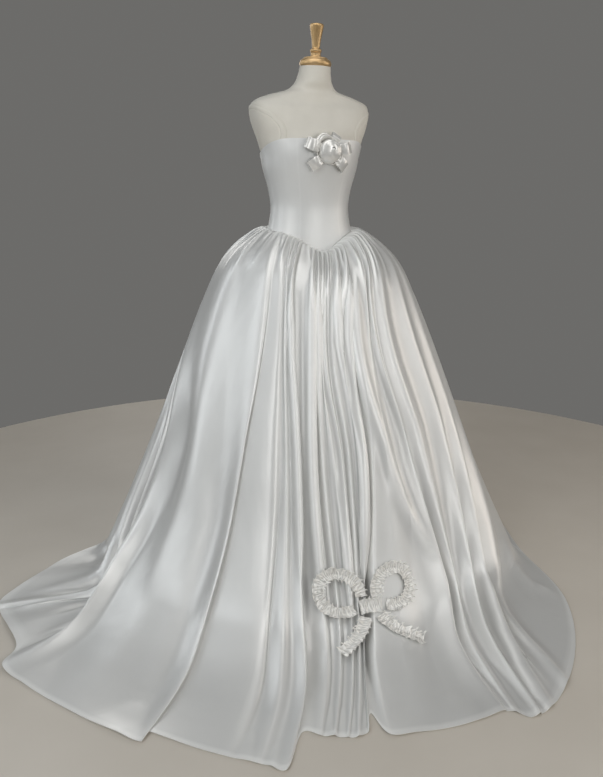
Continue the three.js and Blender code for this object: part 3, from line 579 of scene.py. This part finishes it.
def ranged(tree, value, low, high, start=0.0, end=1.0):
    """The value between start and end, moved to between low and high."""
    inputs = {"Value": value, "From Min": start, "From Max": end, "To Min": low, "To Max": high}
    return add_node(tree, "ShaderNodeMapRange", inputs).outputs[0]


def bump(tree, height, strength, distance, **under):
    inputs = {"Height": height, "Strength": strength, "Distance": distance, **under}
    return add_node(tree, "ShaderNodeBump", inputs).outputs[0]


def ramp(tree, value, *stops):
    """A colour ramp through stops, each a place and a colour."""
    node = add_node(tree, "ShaderNodeValToRGB", {"Fac": value})
    for element, (place, color) in zip(node.color_ramp.elements, stops, strict=True):
        element.position = place
        element.color = (*color, 1.0)
    return node.outputs["Color"]


# Name, light and shade of the colour, roughness, metallic, and the span of bend over which shade is painted
# into hollow folds and a highlight onto crests.
SATINS = (
    ("satin_skirt", (0.86, 0.86, 0.845), (0.80, 0.80, 0.785), 0.36, 0.36, 0.026),
    ("satin_bodice", (0.86, 0.86, 0.845), (0.80, 0.80, 0.785), 0.42, 0.26, 0.4),
    ("ruffle_trim", (0.92, 0.905, 0.87), (0.86, 0.845, 0.81), 0.34, 0.26, 0.045),
    ("satin_ribbon", (0.88, 0.87, 0.84), (0.82, 0.81, 0.78), 0.24, 0.40, 0.05),
)


def satin_material(name, light, shade, roughness, metallic, painted_shade_span):
    """Bridal satin: fine warp lines, soft cloudy tone and small puckers, with a broad sheen.

    Shade is painted into a hollow fold and a highlight onto a crest. The last argument is the bend at which
    that is complete.
    """
    material, tree, shader = new_material(name)
    uv = add_node(tree, "ShaderNodeUVMap", uv_map="Cloth").outputs["UV"]
    warp = noise(tree, stretched(tree, uv, (900.0, 60.0, 1.0)), scale=1.0, detail=2.0)
    pucker = noise(tree, stretched(tree, uv, (22.0, 7.0, 1.0)), scale=1.0, detail=2.0)
    cloud = noise(tree, object_place(tree), scale=5.0, detail=3.0)
    mixed = {0: warp, 1: 0.2, 2: product(tree, cloud, 0.8)}
    tone = add_node(tree, "ShaderNodeMath", mixed, operation="MULTIPLY_ADD").outputs[0]
    # Painted shade and highlight: where the cloth bends into a hollow the colour's value drops to 0.75, and
    # where it bends over a crest it rises to 1.08.
    bend = add_node(tree, "ShaderNodeNewGeometry").outputs["Pointiness"]
    depth = ranged(tree, bend, low=0.75, high=1.08, start=0.5 - painted_shade_span, end=0.5 + painted_shade_span)
    tone_and_painted_shade = {"Color": ramp(tree, tone, (0.3, shade), (0.7, light)), "Value": depth}
    soft = bump(tree, pucker, strength=0.25, distance=0.004)
    plug(tree, shader, {
        "Base Color": add_node(tree, "ShaderNodeHueSaturation", tone_and_painted_shade).outputs[0],
        "Roughness": ranged(tree, warp, roughness - 0.05, roughness + 0.05),
        "Normal": bump(tree, warp, strength=0.12, distance=0.0004, Normal=soft),
        "Metallic": metallic,
        "Specular IOR Level": 0.6,
    })
    return material


def linen_material():
    """The form's cover: a fine plain weave in warm cream."""
    material, tree, shader = new_material("form_linen")
    place = object_place(tree)
    cloud = noise(tree, place, scale=14.0, detail=5.0)
    weave = product(tree, threads(tree, place, "Z"), threads(tree, place, "X"))
    plug(tree, shader, {
        "Base Color": ramp(tree, cloud, (0.3, (0.70, 0.665, 0.59)), (0.7, (0.76, 0.725, 0.65))),
        "Normal": bump(tree, weave, strength=0.25, distance=0.0005),
        "Roughness": 0.85,
        "Sheen Weight": 0.15,
    })
    return material


def gold_material():
    """Satin gold: a brushed, slightly worn lacquer."""
    material, tree, shader = new_material("gold_metal")
    place = object_place(tree)
    cloud = noise(tree, place, scale=30.0, detail=4.0)
    brush = noise(tree, stretched(tree, place, (60.0, 60.0, 900.0)), scale=1.0, detail=3.0)
    plug(tree, shader, {
        "Base Color": ramp(tree, cloud, (0.35, (0.60, 0.40, 0.19)), (0.65, (0.70, 0.49, 0.26))),
        "Roughness": ranged(tree, brush, 0.34, 0.46),
        "Normal": bump(tree, brush, strength=0.08, distance=0.0005),
        "Metallic": 0.75,
    })
    return material


def painted_material():
    """Cream powder coat on the stand, with its orange-peel surface."""
    material, tree, shader = new_material("stand_metal")
    place = object_place(tree)
    cloud = noise(tree, place, scale=9.0, detail=4.0)
    peel = noise(tree, place, scale=350.0, detail=2.0)
    plug(tree, shader, {
        "Base Color": ramp(tree, cloud, (0.3, (0.62, 0.59, 0.52)), (0.7, (0.70, 0.67, 0.60))),
        "Normal": bump(tree, peel, strength=0.2, distance=0.0006),
        "Roughness": 0.4,
        "Metallic": 0.2,
    })
    return material


def floor_material():
    """The plain pale floor, which is only part of the stage."""
    material, tree, shader = new_material("floor")
    cloud = noise(tree, object_place(tree), scale=3.0, detail=5.0)
    plug(tree, shader, {
        "Base Color": ramp(tree, cloud, (0.3, (0.62, 0.57, 0.50)), (0.7, (0.66, 0.61, 0.54))),
        "Roughness": 0.55,
    })
    return material


# ---- camera, light

CAMERA_AZIMUTH = -21.0
CAMERA_DISTANCE = 2.25
CAMERA_HEIGHT = 1.07
CAMERA_DOWN = 13.92
CAMERA_YAW = 0.63
LENS = 32.43
SENSOR_WIDTH = 36.0
ROOM_COLOR = (0.150, 0.148, 0.142, 1)
ROOM_LIGHT = 0.65
FLOOR_EDGES = 96
FLOOR_RADIUS, FLOOR_DROP = 2000.0, 0.6
LIGHT_AIM = 0.75

COOL, NEUTRAL, WARM = (0.93, 0.97, 1.0), (1.0, 0.99, 0.97), (1.0, 0.92, 0.84)
# Name, azimuth, height, distance, width and length, watts, color, and what it lights: both, or only the
# diffuse or the glossy part of each surface.
LIGHTS = (
    ("key", -58, 1.7, 3.0, (2.4, 2.0), 33, COOL, "diffuse"),
    ("front", 14, 1.35, 3.2, (1.6, 1.4), 34, NEUTRAL, "diffuse"),
    ("high", -40, 2.7, 1.5, (1.6, 1.6), 8, COOL, "diffuse"),
    ("right", 72, 1.4, 3.2, (0.9, 2.0), 12, WARM, "both"),
    ("back", 170, 2.0, 3.2, (2.4, 1.6), 26, NEUTRAL, "both"),
    ("sheen_top", -30, 3.0, 0.7, (1.8, 1.8), 16, NEUTRAL, "gloss"),
    ("sheen_far_left", -132, 2.1, 2.8, (0.6, 2.8), 13, COOL, "gloss"),
    ("sheen_left", -92, 2.1, 2.8, (0.6, 2.8), 13, COOL, "gloss"),
    ("sheen_front_left", -52, 2.3, 2.8, (0.6, 2.6), 11, NEUTRAL, "gloss"),
    ("sheen_front_right", 8, 2.3, 2.8, (0.6, 2.6), 11, NEUTRAL, "gloss"),
    ("sheen_right", 48, 2.1, 2.8, (0.6, 2.8), 11, NEUTRAL, "gloss"),
)


def add_camera():
    camera = add_object("Camera", bpy.data.cameras.new("Camera"))
    camera.data.lens = LENS
    camera.data.sensor_width = SENSOR_WIDTH
    camera.location = (*outwards(CAMERA_AZIMUTH) * CAMERA_DISTANCE, CAMERA_HEIGHT)
    turn = math.radians(CAMERA_AZIMUTH) + math.radians(CAMERA_YAW)
    camera.rotation_euler = (math.radians(90 - CAMERA_DOWN), 0, turn)
    bpy.context.scene.camera = camera


def add_area(name, azimuth, height, distance, size, power, color, sees):
    light = bpy.data.lights.new(name, "AREA")
    light.shape = "RECTANGLE"
    light.size, light.size_y = size
    light.energy = power
    light.color = color
    lamp = add_object(name, light)
    lamp.location = (*outwards(azimuth) * distance, height)
    aim_at = Vector((0, 0, LIGHT_AIM)) - lamp.location
    lamp.rotation_euler = aim_at.to_track_quat("-Z", "Y").to_euler()
    lamp.visible_glossy = sees != "diffuse"
    lamp.visible_diffuse = sees != "gloss"


def add_room():
    """A grey room that is brighter to the camera than as a light."""
    world = bpy.data.worlds.new("Studio")
    world.use_nodes = True
    bpy.context.scene.world = world
    tree = world.node_tree
    seen = add_node(tree, "ShaderNodeLightPath").outputs["Is Camera Ray"]
    strength = ranged(tree, seen, ROOM_LIGHT, 1.0)
    plug(tree, tree.nodes["Background"], {"Color": ROOM_COLOR, "Strength": strength})
    bpy.context.scene.view_settings.view_transform = "Standard"


def add_floor():
    angle = np.linspace(0, 360, FLOOR_EDGES, endpoint=False)
    ring = ringed(angle, FLOOR_RADIUS + 0 * angle, -FLOOR_DROP)
    floor = make_mesh("floor", ring, [range(FLOOR_EDGES)])
    floor.data.materials.append(floor_material())


# ---- figure

figure = named(FIGURE_COLUMNS, FIGURE)


def figure_at(column, height):
    return smooth_through(figure["height"], figure[column], height)


def figure_points(angle, height, ease):
    """Points of the figure's skin at an angle and a height, moved out by the ease."""
    angle, height, ease = np.broadcast_arrays(angle, height, ease)
    out = outwards(angle)
    half, square = figure_at("half", height), figure_at("square", height)
    depth = np.where(np.abs(angle) < 90, figure_at("front", height), figure_at("back", height))
    across = np.abs(out[..., 0] / (half + ease)) ** square
    along = np.abs(out[..., 1] / (depth + ease)) ** square
    radius = (across + along) ** (-1 / square)
    return np.stack([out[..., 0] * radius, out[..., 1] * radius + figure_at("lean", height), height], -1)


def top_edge_height(angle):
    return TOP_EDGE_FRONT - TOP_EDGE_DIP * smooth((np.abs(angle) - TOP_DIP_FROM) / TOP_DIP_OVER)


def waist_seam_height(angle):
    return WAIST_SEAM_SIDE - BASQUE_DROP / (1 + (angle / BASQUE_WIDTH) ** 2) ** 1.5


# ---- skirt

folds = named(FOLD_COLUMNS, FOLDS)
rings = named(RING_COLUMNS, RINGS)
FOLD_COUNT = len(FOLDS)


def skirt_tracks():
    parts = [np.linspace(a, b, n, endpoint=False) for a, b, n in SKIRT_ROWS]
    return np.append(np.concatenate(parts), SKIRT_ROWS[-1][1])


def fold_columns():
    """Each column's fold number and its share of the way to the next, closer near the folds themselves."""
    share = (1 - np.cos(np.pi * np.arange(STEPS_PER_FOLD) / STEPS_PER_FOLD)) / 2
    number = np.repeat(np.arange(FOLD_COUNT), STEPS_PER_FOLD)
    return number, np.tile(share, FOLD_COUNT)


def around(values, number, share, turn=0.0):
    """Smooth values round the skirt, from one value a fold. Turn is what a whole round adds."""
    def pick(step):
        fold = number + step
        return values[..., fold % FOLD_COUNT] + turn * (fold // FOLD_COUNT)

    before, start, end, after = (pick(step) for step in (-1, 0, 1, 2))
    return cubic(start, end, (end - before) / 2, (after - start) / 2, share)


def between_folds(values, number, share, sharp):
    """Values that turn at each fold. Sharp narrows a crest and pinches the foot of a trough."""
    after = (number + 1) % FOLD_COUNT
    start, end = values[..., number], values[..., after]
    rising = folds["mid_depth"][after] > folds["mid_depth"][number]
    up = np.where(rising, share, 1 - share)
    foot = np.where(rising, sharp[number], sharp[after])
    narrow = np.where(rising, sharp[after], sharp[number])
    rise = (3 * up ** 2 - 2 * up ** 3 + foot * (up - 2 * up ** 2 + up ** 3)) ** (1 + narrow)
    return lerp(np.where(rising, start, end), np.where(rising, end, start), rise)


def fold_angles(tracks, columns):
    places = np.stack([folds[key] for key in FOLD_COLUMNS[:len(TRACK_LEVELS)]])
    return around(smooth_through(TRACK_LEVELS, places, tracks), *columns, turn=360.0)


def fold_depths(tracks, columns):
    mid, low = folds["mid_depth"], folds["low_depth"]
    hem = np.maximum(low, 0) * HEM_SHARE
    depths = np.stack([0 * mid, mid * HIGH_SHARE, mid, low, low * FOOT_SHARE, hem])
    return between_folds(smooth_through(TRACK_LEVELS, depths, tracks), *columns, folds["sharp"])


def fold_leans(tracks, columns):
    """How far each point leans over with its crest, in millimetres round the skirt."""
    over = folds["over"]
    return smooth((tracks - LEAN_FROM) / LEAN_OVER)[:, None] * between_folds(over, *columns, 0 * over)


def plain_skirt(tracks, columns):
    """The angle of each column at the waist, and the radius and height of the skirt without its folds."""
    waist = around(folds["waist"], *columns, turn=360.0)
    seam_angle = np.where(waist > 180, waist - 360, waist)
    seam = figure_points(seam_angle, waist_seam_height(seam_angle), BODICE_EASE + SEAM_GAP)
    spread = rings["spread"][:, None] ** (1 + LATE_POWER * around(folds["late"], *columns))
    radii = rings["cone"][:, None] + spread * (around(folds["reach"], *columns) - CONE_FOOT)
    radii[0] = np.hypot(seam[:, 0], seam[:, 1])
    heights = rings["height"][:, None] * (seam[:, 2] - WAIST_SEAM_GAP)
    radius, height = (smooth_through(rings["track"], values, tracks) for values in (radii, heights))
    return waist, radius, height


def skirt_grid():
    """The skirt's outer face: points, one row for each track and one column for each place round."""
    tracks, columns = skirt_tracks(), fold_columns()
    waist, radius, height = plain_skirt(tracks, columns)
    waved = fold_depths(tracks, columns) + gathers(waist, radius, height)
    out_way, down_way = np.gradient(radius, axis=0), np.gradient(height, axis=0)
    length = np.hypot(out_way, down_way)
    radius_at = radius - down_way / length * waved
    height_at = height + out_way / length * waved
    lean = np.degrees(fold_leans(tracks, columns) / np.maximum(radius_at, LEAN_RADIUS))
    points = ringed(fold_angles(tracks, columns) + lean, radius_at, height_at)
    position = sum(columns)
    points += grid_normals(points) * creases(points, position, tracks)[..., None]
    points[..., 2] = np.maximum(points[..., 2], SATIN_WALL) + hem_curl(position, tracks)
    return points


def hem_curl(position, tracks):
    """How far the hem curls up off the floor, unevenly round the skirt."""
    edge = smooth((tracks - CURL_FROM) / CURL_OVER)[:, None]
    turned_up = 0.5 + 0.5 * np.sin(2.1 * position) * np.sin(0.83 * position + 1)
    return HEM_CURL * edge ** 2 * turned_up ** 2


def creases(points, position, tracks):
    """How far the loose creases raise or sink each point of the skirt."""
    total = np.zeros(points.shape[:2])
    share = np.linspace(0, 1, CREASE_POINTS)
    for fold, track, end_fold, end_track, width, height in CREASES:
        near = np.abs(position - (fold + end_fold) / 2) < abs(end_fold - fold) / 2 + CREASE_MARGIN
        part = points[:, near]
        i = np.argmin(np.abs(position[near][:, None] - lerp(fold, end_fold, share)), axis=0)
        j = np.argmin(np.abs(tracks[:, None] - lerp(track, end_track, share)), axis=0)
        line = box_mean(part[j, i], CREASE_SMOOTH, 0)
        away = np.linalg.norm(part[:, :, None] - line, axis=-1)
        along = share[np.argmin(away, axis=-1)]
        taper = smooth(4 * along) * smooth(4 * (1 - along) + 0.35)
        total[:, near] += height * taper * np.exp(-(away.min(axis=-1) / width) ** 2)
    return total


def gathers(waist, radius, height):
    """Small gathers that leave the waist seam and fade down the skirt, each with its own length."""
    rng = np.random.default_rng(GATHER_SEED)
    step = np.hypot(np.diff(radius, axis=0), np.diff(height, axis=0))
    down = np.vstack([np.zeros(radius.shape[1]), np.cumsum(step, axis=0)])
    total = np.zeros_like(radius)
    place = -180.0
    while place < 180:
        front = math.exp(-(place / GATHER_FRONT) ** 2)
        gap = rng.uniform(*GATHER_GAP) * (1.1 - 0.25 * front)
        place += gap
        width = gap * rng.uniform(*GATHER_WIDTH)
        long = rng.uniform(*GATHER_LENGTH) + front * rng.uniform(*GATHER_FRONT_LENGTH)
        tall = rng.uniform(*GATHER_HEIGHT) * (0.7 + 0.6 * front)
        drift = rng.uniform(*GATHER_DRIFT) * gap
        away = (waist - place - drift * down + 180) % 360 - 180
        valley = GATHER_VALLEY * np.exp(-(away / (2.1 * width)) ** 2)
        fade = (1 - np.exp(-down / 3)) * np.clip(1 - down / long, 0, 1) ** 1.2 * (1 + down / 70)
        total += tall * (np.exp(-(away / width) ** 2) - valley) * fade
    return total


def add_skirt(material):
    points = skirt_grid()
    closed = np.concatenate([points, points[:, :1]], axis=1)
    for name, first, last in zip(SKIRT_PANELS, SKIRT_SEAMS, SKIRT_SEAMS[1:]):
        part = closed[:, first * STEPS_PER_FOLD:last * STEPS_PER_FOLD + 1].copy()
        for edge, inner in ((0, 1), (-1, -2)):
            part[:, edge] += unit(part[:, inner] - part[:, edge]) * SEAM_GAP / 2
        cloth_piece(name, part, "satin_skirt", material, "gathered")
    return closed


# ---- bodice

def add_bodice(material):
    for name, first, last in zip(BODICE_PANELS, BODICE_SEAMS, BODICE_SEAMS[1:]):
        angle = np.linspace(first, last, int((last - first) / BODICE_STEP) + 1)
        share = np.linspace(0, 1, BODICE_ROWS)[:, None]
        height = lerp(top_edge_height(angle), waist_seam_height(angle), share)
        points = figure_points(angle, height, BODICE_EASE)
        cloth_piece(name, points, "satin_bodice", material, "stretched", ["form_torso_cover"])


# ---- ruffle bow

def bow_envelope(skirt):
    """Radius and height of the smooth surface over the front folds' crests, on a grid of rows and angles."""
    angles = np.arange(ENVELOPE_FROM, ENVELOPE_TO, ENVELOPE_STEP)
    angle = np.degrees(np.arctan2(skirt[..., 0], -skirt[..., 1]))
    radius = np.hypot(skirt[..., 0], skirt[..., 1])
    out = np.empty((len(skirt), len(angles), 2))
    for j in range(len(skirt)):
        for k, middle in enumerate(angles):
            near = np.abs(angle[j] - middle) < CREST_REACH
            out[j, k] = radius[j, near].max(), skirt[j, near, 2].max()
    return box_mean(box_mean(out, ENVELOPE_SMOOTH, 1), ENVELOPE_SMOOTH, 0)


def lengths_to_hem():
    """Cloth length from each row down to the hem, on the plain profile at the front."""
    radii = rings["cone"] + rings["spread"] * (FRONT_REACH - CONE_FOOT)
    radii[0] = FRONT_WAIST
    heights = rings["height"] * (WAIST_SEAM_SIDE - BASQUE_DROP)
    profile = smooth_through(rings["track"], np.stack([radii, heights], -1), skirt_tracks())
    return lengths_along(profile[::-1])[::-1]


def on_envelope(envelope, lengths, across, up):
    angle = BOW_ANGLE + np.degrees(across / BOW_RADIUS)
    row = np.interp(BOW_ABOVE_HEM + up, lengths[::-1], np.arange(len(lengths))[::-1])
    column = (angle - ENVELOPE_FROM) / ENVELOPE_STEP
    j, i = np.floor(row).astype(int), np.floor(column).astype(int)
    s, t = (row - j)[..., None], (column - i)[..., None]
    upper, lower = (lerp(envelope[k, i], envelope[k, i + 1], t) for k in (j, j + 1))
    mixed = lerp(upper, lower, s)
    return ringed(angle, mixed[..., 0], mixed[..., 1])


def even_path(path, step):
    """Points at even steps along a path, the unit way along at each, and the length up to each."""
    lengths = lengths_along(path)
    at = np.linspace(0, lengths[-1], int(lengths[-1] / step) + 1)
    even = np.stack([np.interp(at, lengths, path[:, i]) for i in range(2)], -1)
    return even, unit(np.gradient(even, axis=0)), at


def wandering(rng, at, period):
    """A phase that advances by one turn for about each period, unevenly, as a column."""
    marks = np.arange(0, at[-1] + PACE_PAST_END, PACE_STEP)
    pace = np.interp(at, marks, rng.uniform(*PACE_RANGE, len(marks)))
    phase = math.tau * np.cumsum(pace) * (at[1] - at[0]) / period + rng.uniform(0, math.tau)
    return phase[:, None]


def ruffle_points(envelope, lengths, path, wide, seed):
    """A strip gathered along its middle: the edges stand up in frills and the middle is puckered."""
    rng = np.random.default_rng(seed)
    even, along, at = even_path(path, RUFFLE_STEP)
    v = np.linspace(-1, 1, SHEET_COLUMNS)[None]
    edge = np.abs(v)
    first, second, pucker, full = (wandering(rng, at, period) for period in RUFFLE_PERIODS)
    phase = np.where(v < 0, first, second)
    frill = (1 + 0.45 * np.sin(full)) * edge ** 1.3 * (1 + np.sin(phase + 1.1 * edge)) / 1.4
    # Frills at the edges, puckers in the middle, and small waves that run along both.
    lift = 2.6 + 1.8 * edge + 7.2 * frill
    lift += 1.7 * (1 - edge) ** 1.5 * np.sin(pucker + 2 * v)
    lift += 1.5 * np.sin(2.3 * phase + 5 * v) * edge
    ripple = 1 + 0.14 * np.cos(phase) * edge + 0.06 * np.sin(2.1 * phase)
    slide = 5.4 * edge ** 2 * np.cos(phase + 0.6) + 0.8 * np.cos(pucker) * (1 - edge)
    side = np.stack([-along[:, 1], along[:, 0]], -1)
    across, up = np.moveaxis(even[:, None] + side[:, None] * (v * ripple * wide / 2)[..., None]
                             + along[:, None] * slide[..., None], -1, 0)

    def place(further, higher):
        return on_envelope(envelope, lengths, across + further, up + higher)

    return lifted(place, (RUFFLE_PROBE, RUFFLE_PROBE), lift)


def loop_path(points, long, wide, start):
    """A drop-shaped loop out from the bow's middle and back."""
    turn = math.tau * np.linspace(LOOP_START, 1 - LOOP_START, LOOP_POINTS)
    x, y = turned_by(points, long * (1 - np.cos(turn)) / 2, wide * np.sin(turn) / 2)
    return np.stack([x + start, y], -1)


def strip_path(start, bend, end):
    """A curve from start to end that bends towards a third point."""
    t = np.linspace(0, 1, STRIP_POINTS)[:, None]
    return (1 - t) ** 2 * np.array(start) + 2 * t * (1 - t) * np.array(bend) + t * t * np.array(end)


def add_ruffle_bow(skirt, material):
    envelope, lengths = bow_envelope(skirt), lengths_to_hem()
    paths = [(name, loop_path(*sizes), RUFFLE_WIDTH) for name, *sizes in BOW_LOOPS]
    paths += [(name, strip_path(*places), wide) for name, *places, wide in BOW_STRIPS]
    for seed, (name, path, wide) in enumerate(paths, RUFFLE_SEED):
        points = ruffle_points(envelope, lengths, path, wide, seed)
        seat = ["skirt_front_cloth"]
        cloth_piece(name, points, "ruffle_trim", material, "gathered", seat, thick=RUFFLE_WALL, offset=1.0)


# ---- rosette

def on_bodice(across, up, lift):
    """Points on the bodice, across and up from the rosette's middle and lifted off the cloth."""
    angles = np.linspace(ROSE_ANGLE - ROSE_SPAN, ROSE_ANGLE + ROSE_SPAN, ROSE_STEPS)
    reach = lengths_along(figure_points(angles, ROSE_HEIGHT, BODICE_EASE))
    middle = np.interp(ROSE_ANGLE, angles, reach)
    angle = np.interp(middle + across, reach, angles)

    def place(further, higher):
        return figure_points(angle + further, ROSE_HEIGHT + up + higher, BODICE_EASE)

    return lifted(place, ROSE_PROBE, lift)


def core_points():
    """The rolled centre: one strip wound round a tight roll, its outer turns closing over like a bud."""
    t = np.linspace(0, 1, CORE_POINTS)[:, None]
    v = np.linspace(0, 1, SHEET_COLUMNS)[None]
    turn = math.tau * CORE_TURNS * t + CORE_FROM
    bud = smooth((t - 0.3) / 0.2)
    late = np.clip((t - 0.5) / 0.5, 0, 1)
    swell = 1 + 0.03 * np.sin(3 * turn + 1)
    foot = lerp(3 + 12 * t, CORE_RADIUS * (0.9 + 0.1 * late), bud)
    lip = lerp(0.6 + 5 * t, 2.3 + 15 * late, bud)
    top = lerp(36 - 6 * t, 32 - 5 * late, bud)
    bend = v * math.pi / 2
    radius = (lip + (foot - lip) * np.cos(bend) ** 0.8) * swell
    height = lerp(CORE_FOOT, top, np.sin(bend) ** 0.9) + np.maximum(v - 0.9, 0) / 0.1
    x, y = radius * np.cos(turn) + 6 * v, radius * np.sin(turn) + 5 * v
    return on_bodice(x, y, height).transpose(1, 0, 2)[::-1]


def petal_points(start, span, foot, reach, tall):
    """A petal wrapped round the core, low at both ends, with its lip curled over."""
    u = np.linspace(0, 1, PETAL_POINTS)[None]
    v = np.linspace(0, 1, SHEET_COLUMNS)[:, None]
    turn = np.radians(start + span * u)
    full = np.sin(math.pi * u) ** 0.55
    lip = np.maximum(v - 0.8, 0) / 0.2
    radius = foot + 2 * u + (reach - foot) * full * v ** 1.3 + 1.3 * np.sin(9 * u + start) * v
    height = lerp(PETAL_FOOT, tall * (0.35 + 0.65 * full), np.sin(v * math.pi / 2 * 1.05))
    height += 0.8 * np.cos(8 * u + start) * v - PETAL_CURL * lip ** 2 * full
    return on_bodice(radius * np.cos(turn), radius * np.sin(turn), height)[::-1]


def ribbon_points(points, long, rise, wide, twist):
    """A satin ribbon folded into a loop: out along the bodice, round a soft fold and back over itself."""
    t = np.linspace(0, 1, RIBBON_POINTS)[:, None]
    w = np.linspace(-1, 1, RIBBON_COLUMNS)[None]
    out = np.clip(t / RIBBON_FOLD, 0, 1)
    turn = math.pi * np.clip((t - RIBBON_FOLD) / (RIBBON_BACK - RIBBON_FOLD), 0, 1)
    back = np.clip((t - RIBBON_BACK) / (1 - RIBBON_BACK), 0, 1)
    bulge = np.sin(back * math.pi)
    bend = RIBBON_BEND * rise
    free = (long - bend - RIBBON_START) * (out - back) + bend * np.sin(turn)
    pinch = 0.18 * np.clip(1 - free / 18, 0, 1) ** 1.5
    across = w * wide / 2 * (1 - pinch) + np.tan(np.radians(twist)) * free * back / 2
    lift = 2.2 + 1.2 * np.sin(out * math.pi) + rise * (1 - np.cos(turn)) / 2
    lift = lift + rise * (0.28 * bulge - 0.35 * back ** 2) - 1.4 * w ** 2 * bulge
    lift += 4 * pinch * np.cos(2.5 * math.pi * w + 0.7) * (0.4 + 0.6 * back)
    return on_bodice(*turned_by(points, RIBBON_START + free, across), np.maximum(lift, RIBBON_LOWEST))


def add_rosette(satin):
    seat = ["bodice_center_front_cloth"]
    grids = [("rose_core", core_points(), -1.0)]
    grids += [(name, petal_points(*sizes), -1.0) for name, *sizes in PETALS]
    grids += [(name, ribbon_points(*sizes), 0.0) for name, *sizes in RIBBON_LOOPS]
    for name, points, offset in grids:
        cloth_piece(name, points, "satin_ribbon", satin, "folded", seat, thick=ROSE_WALL, offset=offset)


# ---- form

def add_torso(linen):
    heights = np.concatenate([np.linspace(*rows) for rows in TORSO_ROWS])
    angle = np.linspace(-180, 180, TORSO_COLUMNS, endpoint=False)
    points = figure_points(angle, heights[:, None], 0.0)
    tilt = NECK_TILT * smooth((points[..., 2] - NECK_FOOT) / (NECK_TOP - NECK_FOOT))
    points[..., 2] += (points[..., 1] - figure_at("lean", points[..., 2])) * np.tan(np.radians(tilt))
    cover = make_mesh("form_torso_cover", points, tube_faces(*points.shape[:2]))
    finish_piece(cover, "form_torso", linen)


def add_arm_plate(node, side, linen):
    """A padded oval on the shoulder's end, with a rolled rim and a sewn ring inside it."""
    rho = np.concatenate([np.linspace(*rows) for rows in PLATE_ROWS])[:, None]
    turn = math.tau * np.arange(TURNED_STEPS)[None] / TURNED_STEPS
    angle = side * (PLATE_ANGLE + PLATE_HALF_ANGLE * rho * np.cos(turn) + PLATE_TILT * rho * np.sin(turn))
    height = PLATE_HEIGHT + PLATE_HALF_HEIGHT * rho * np.sin(turn)
    rim = np.sqrt(np.clip(1 - ((rho - PLATE_RIM) / (1 - PLATE_RIM)) ** 2, 0, 1))
    ring = PLATE_RING_DEPTH * np.exp(-((rho - PLATE_RING) / PLATE_RING_WIDTH) ** 2)
    lift = PLATE_SEAT + PLATE_THICK * np.where(rho > PLATE_RIM, rim, 1.0) - ring
    under = figure_points(angle[-1:], height[-1:], PLATE_SEAT)
    points = np.concatenate([figure_points(angle, height, lift), under])
    rows, columns = points.shape[:2]
    last = (rows - 1) * columns
    faces = [*grid_faces(rows, columns, True), range(last, last + columns)]
    if side > 0:
        faces = [face[::-1] for face in faces]
    finish_piece(make_mesh(node + "_cover", points, faces), node, linen)


def turned(name, outline, steps=TURNED_STEPS, fine=6):
    """A turned solid through an outline of radius and height rows, softly rounded between them."""
    outline = np.asarray(outline, float)
    reach = lengths_along(outline)
    shares = [np.linspace(a, b, fine, endpoint=False) for a, b in zip(reach[:-1], reach[1:])]
    rows = smooth_through(reach, outline, np.concatenate(shares)[1:])
    radius, height = rows[rows[:, 0] > TURNED_LEAST].T[..., None]
    turn = math.tau * np.arange(steps)[None] / steps
    points = np.stack([radius * np.cos(turn), radius * np.sin(turn), height + 0 * turn], -1)[::-1]
    return make_mesh(name, points, tube_faces(*points.shape[:2]))


def add_head(gold):
    """The cap on the neck and the finial on the cap, both tilted with the neck's cut."""
    neck = Matrix.Translation((0, float(figure_at("lean", NECK_TOP)) * MM, NECK_TOP * MM))
    head = neck @ Matrix.Rotation(math.radians(NECK_TILT), 4, "X")
    feet = (FORM_GAP, NECK_CAP[-1][1] + 2 * FORM_GAP)
    for node, outline, foot in zip(("neck_cap", "finial"), (NECK_CAP, FINIAL), feet):
        piece = turned(node + "_turned", outline)
        piece.data.transform(head @ Matrix.Translation((0, 0, foot * MM)))
        finish_piece(piece, node, gold)


def add_stand(metal):
    finish_piece(turned("stand_base_turned", STAND_BASE, steps=128), "stand_base", metal)
    foot, top = STAND_BASE[-1][1] + FORM_GAP, FIGURE[0][0] - FORM_GAP
    outline = ((0, foot), (POLE_RADIUS, foot), (POLE_RADIUS, top), (0, top))
    finish_piece(turned("stand_pole_turned", outline, steps=64, fine=12), "stand_pole", metal)


def main():
    add_camera()
    add_room()
    add_floor()
    for light in LIGHTS:
        add_area(*light)
    linen = linen_material()
    add_torso(linen)
    add_arm_plate("form_arm_plate_left", 1, linen)
    add_arm_plate("form_arm_plate_right", -1, linen)
    add_head(gold_material())
    add_stand(painted_material())
    satins = {name: satin_material(name, *look) for name, *look in SATINS}
    add_bodice(satins["satin_bodice"])
    skirt = add_skirt(satins["satin_skirt"])
    add_ruffle_bow(skirt, satins["ruffle_trim"])
    add_rosette(satins["satin_ribbon"])


main()
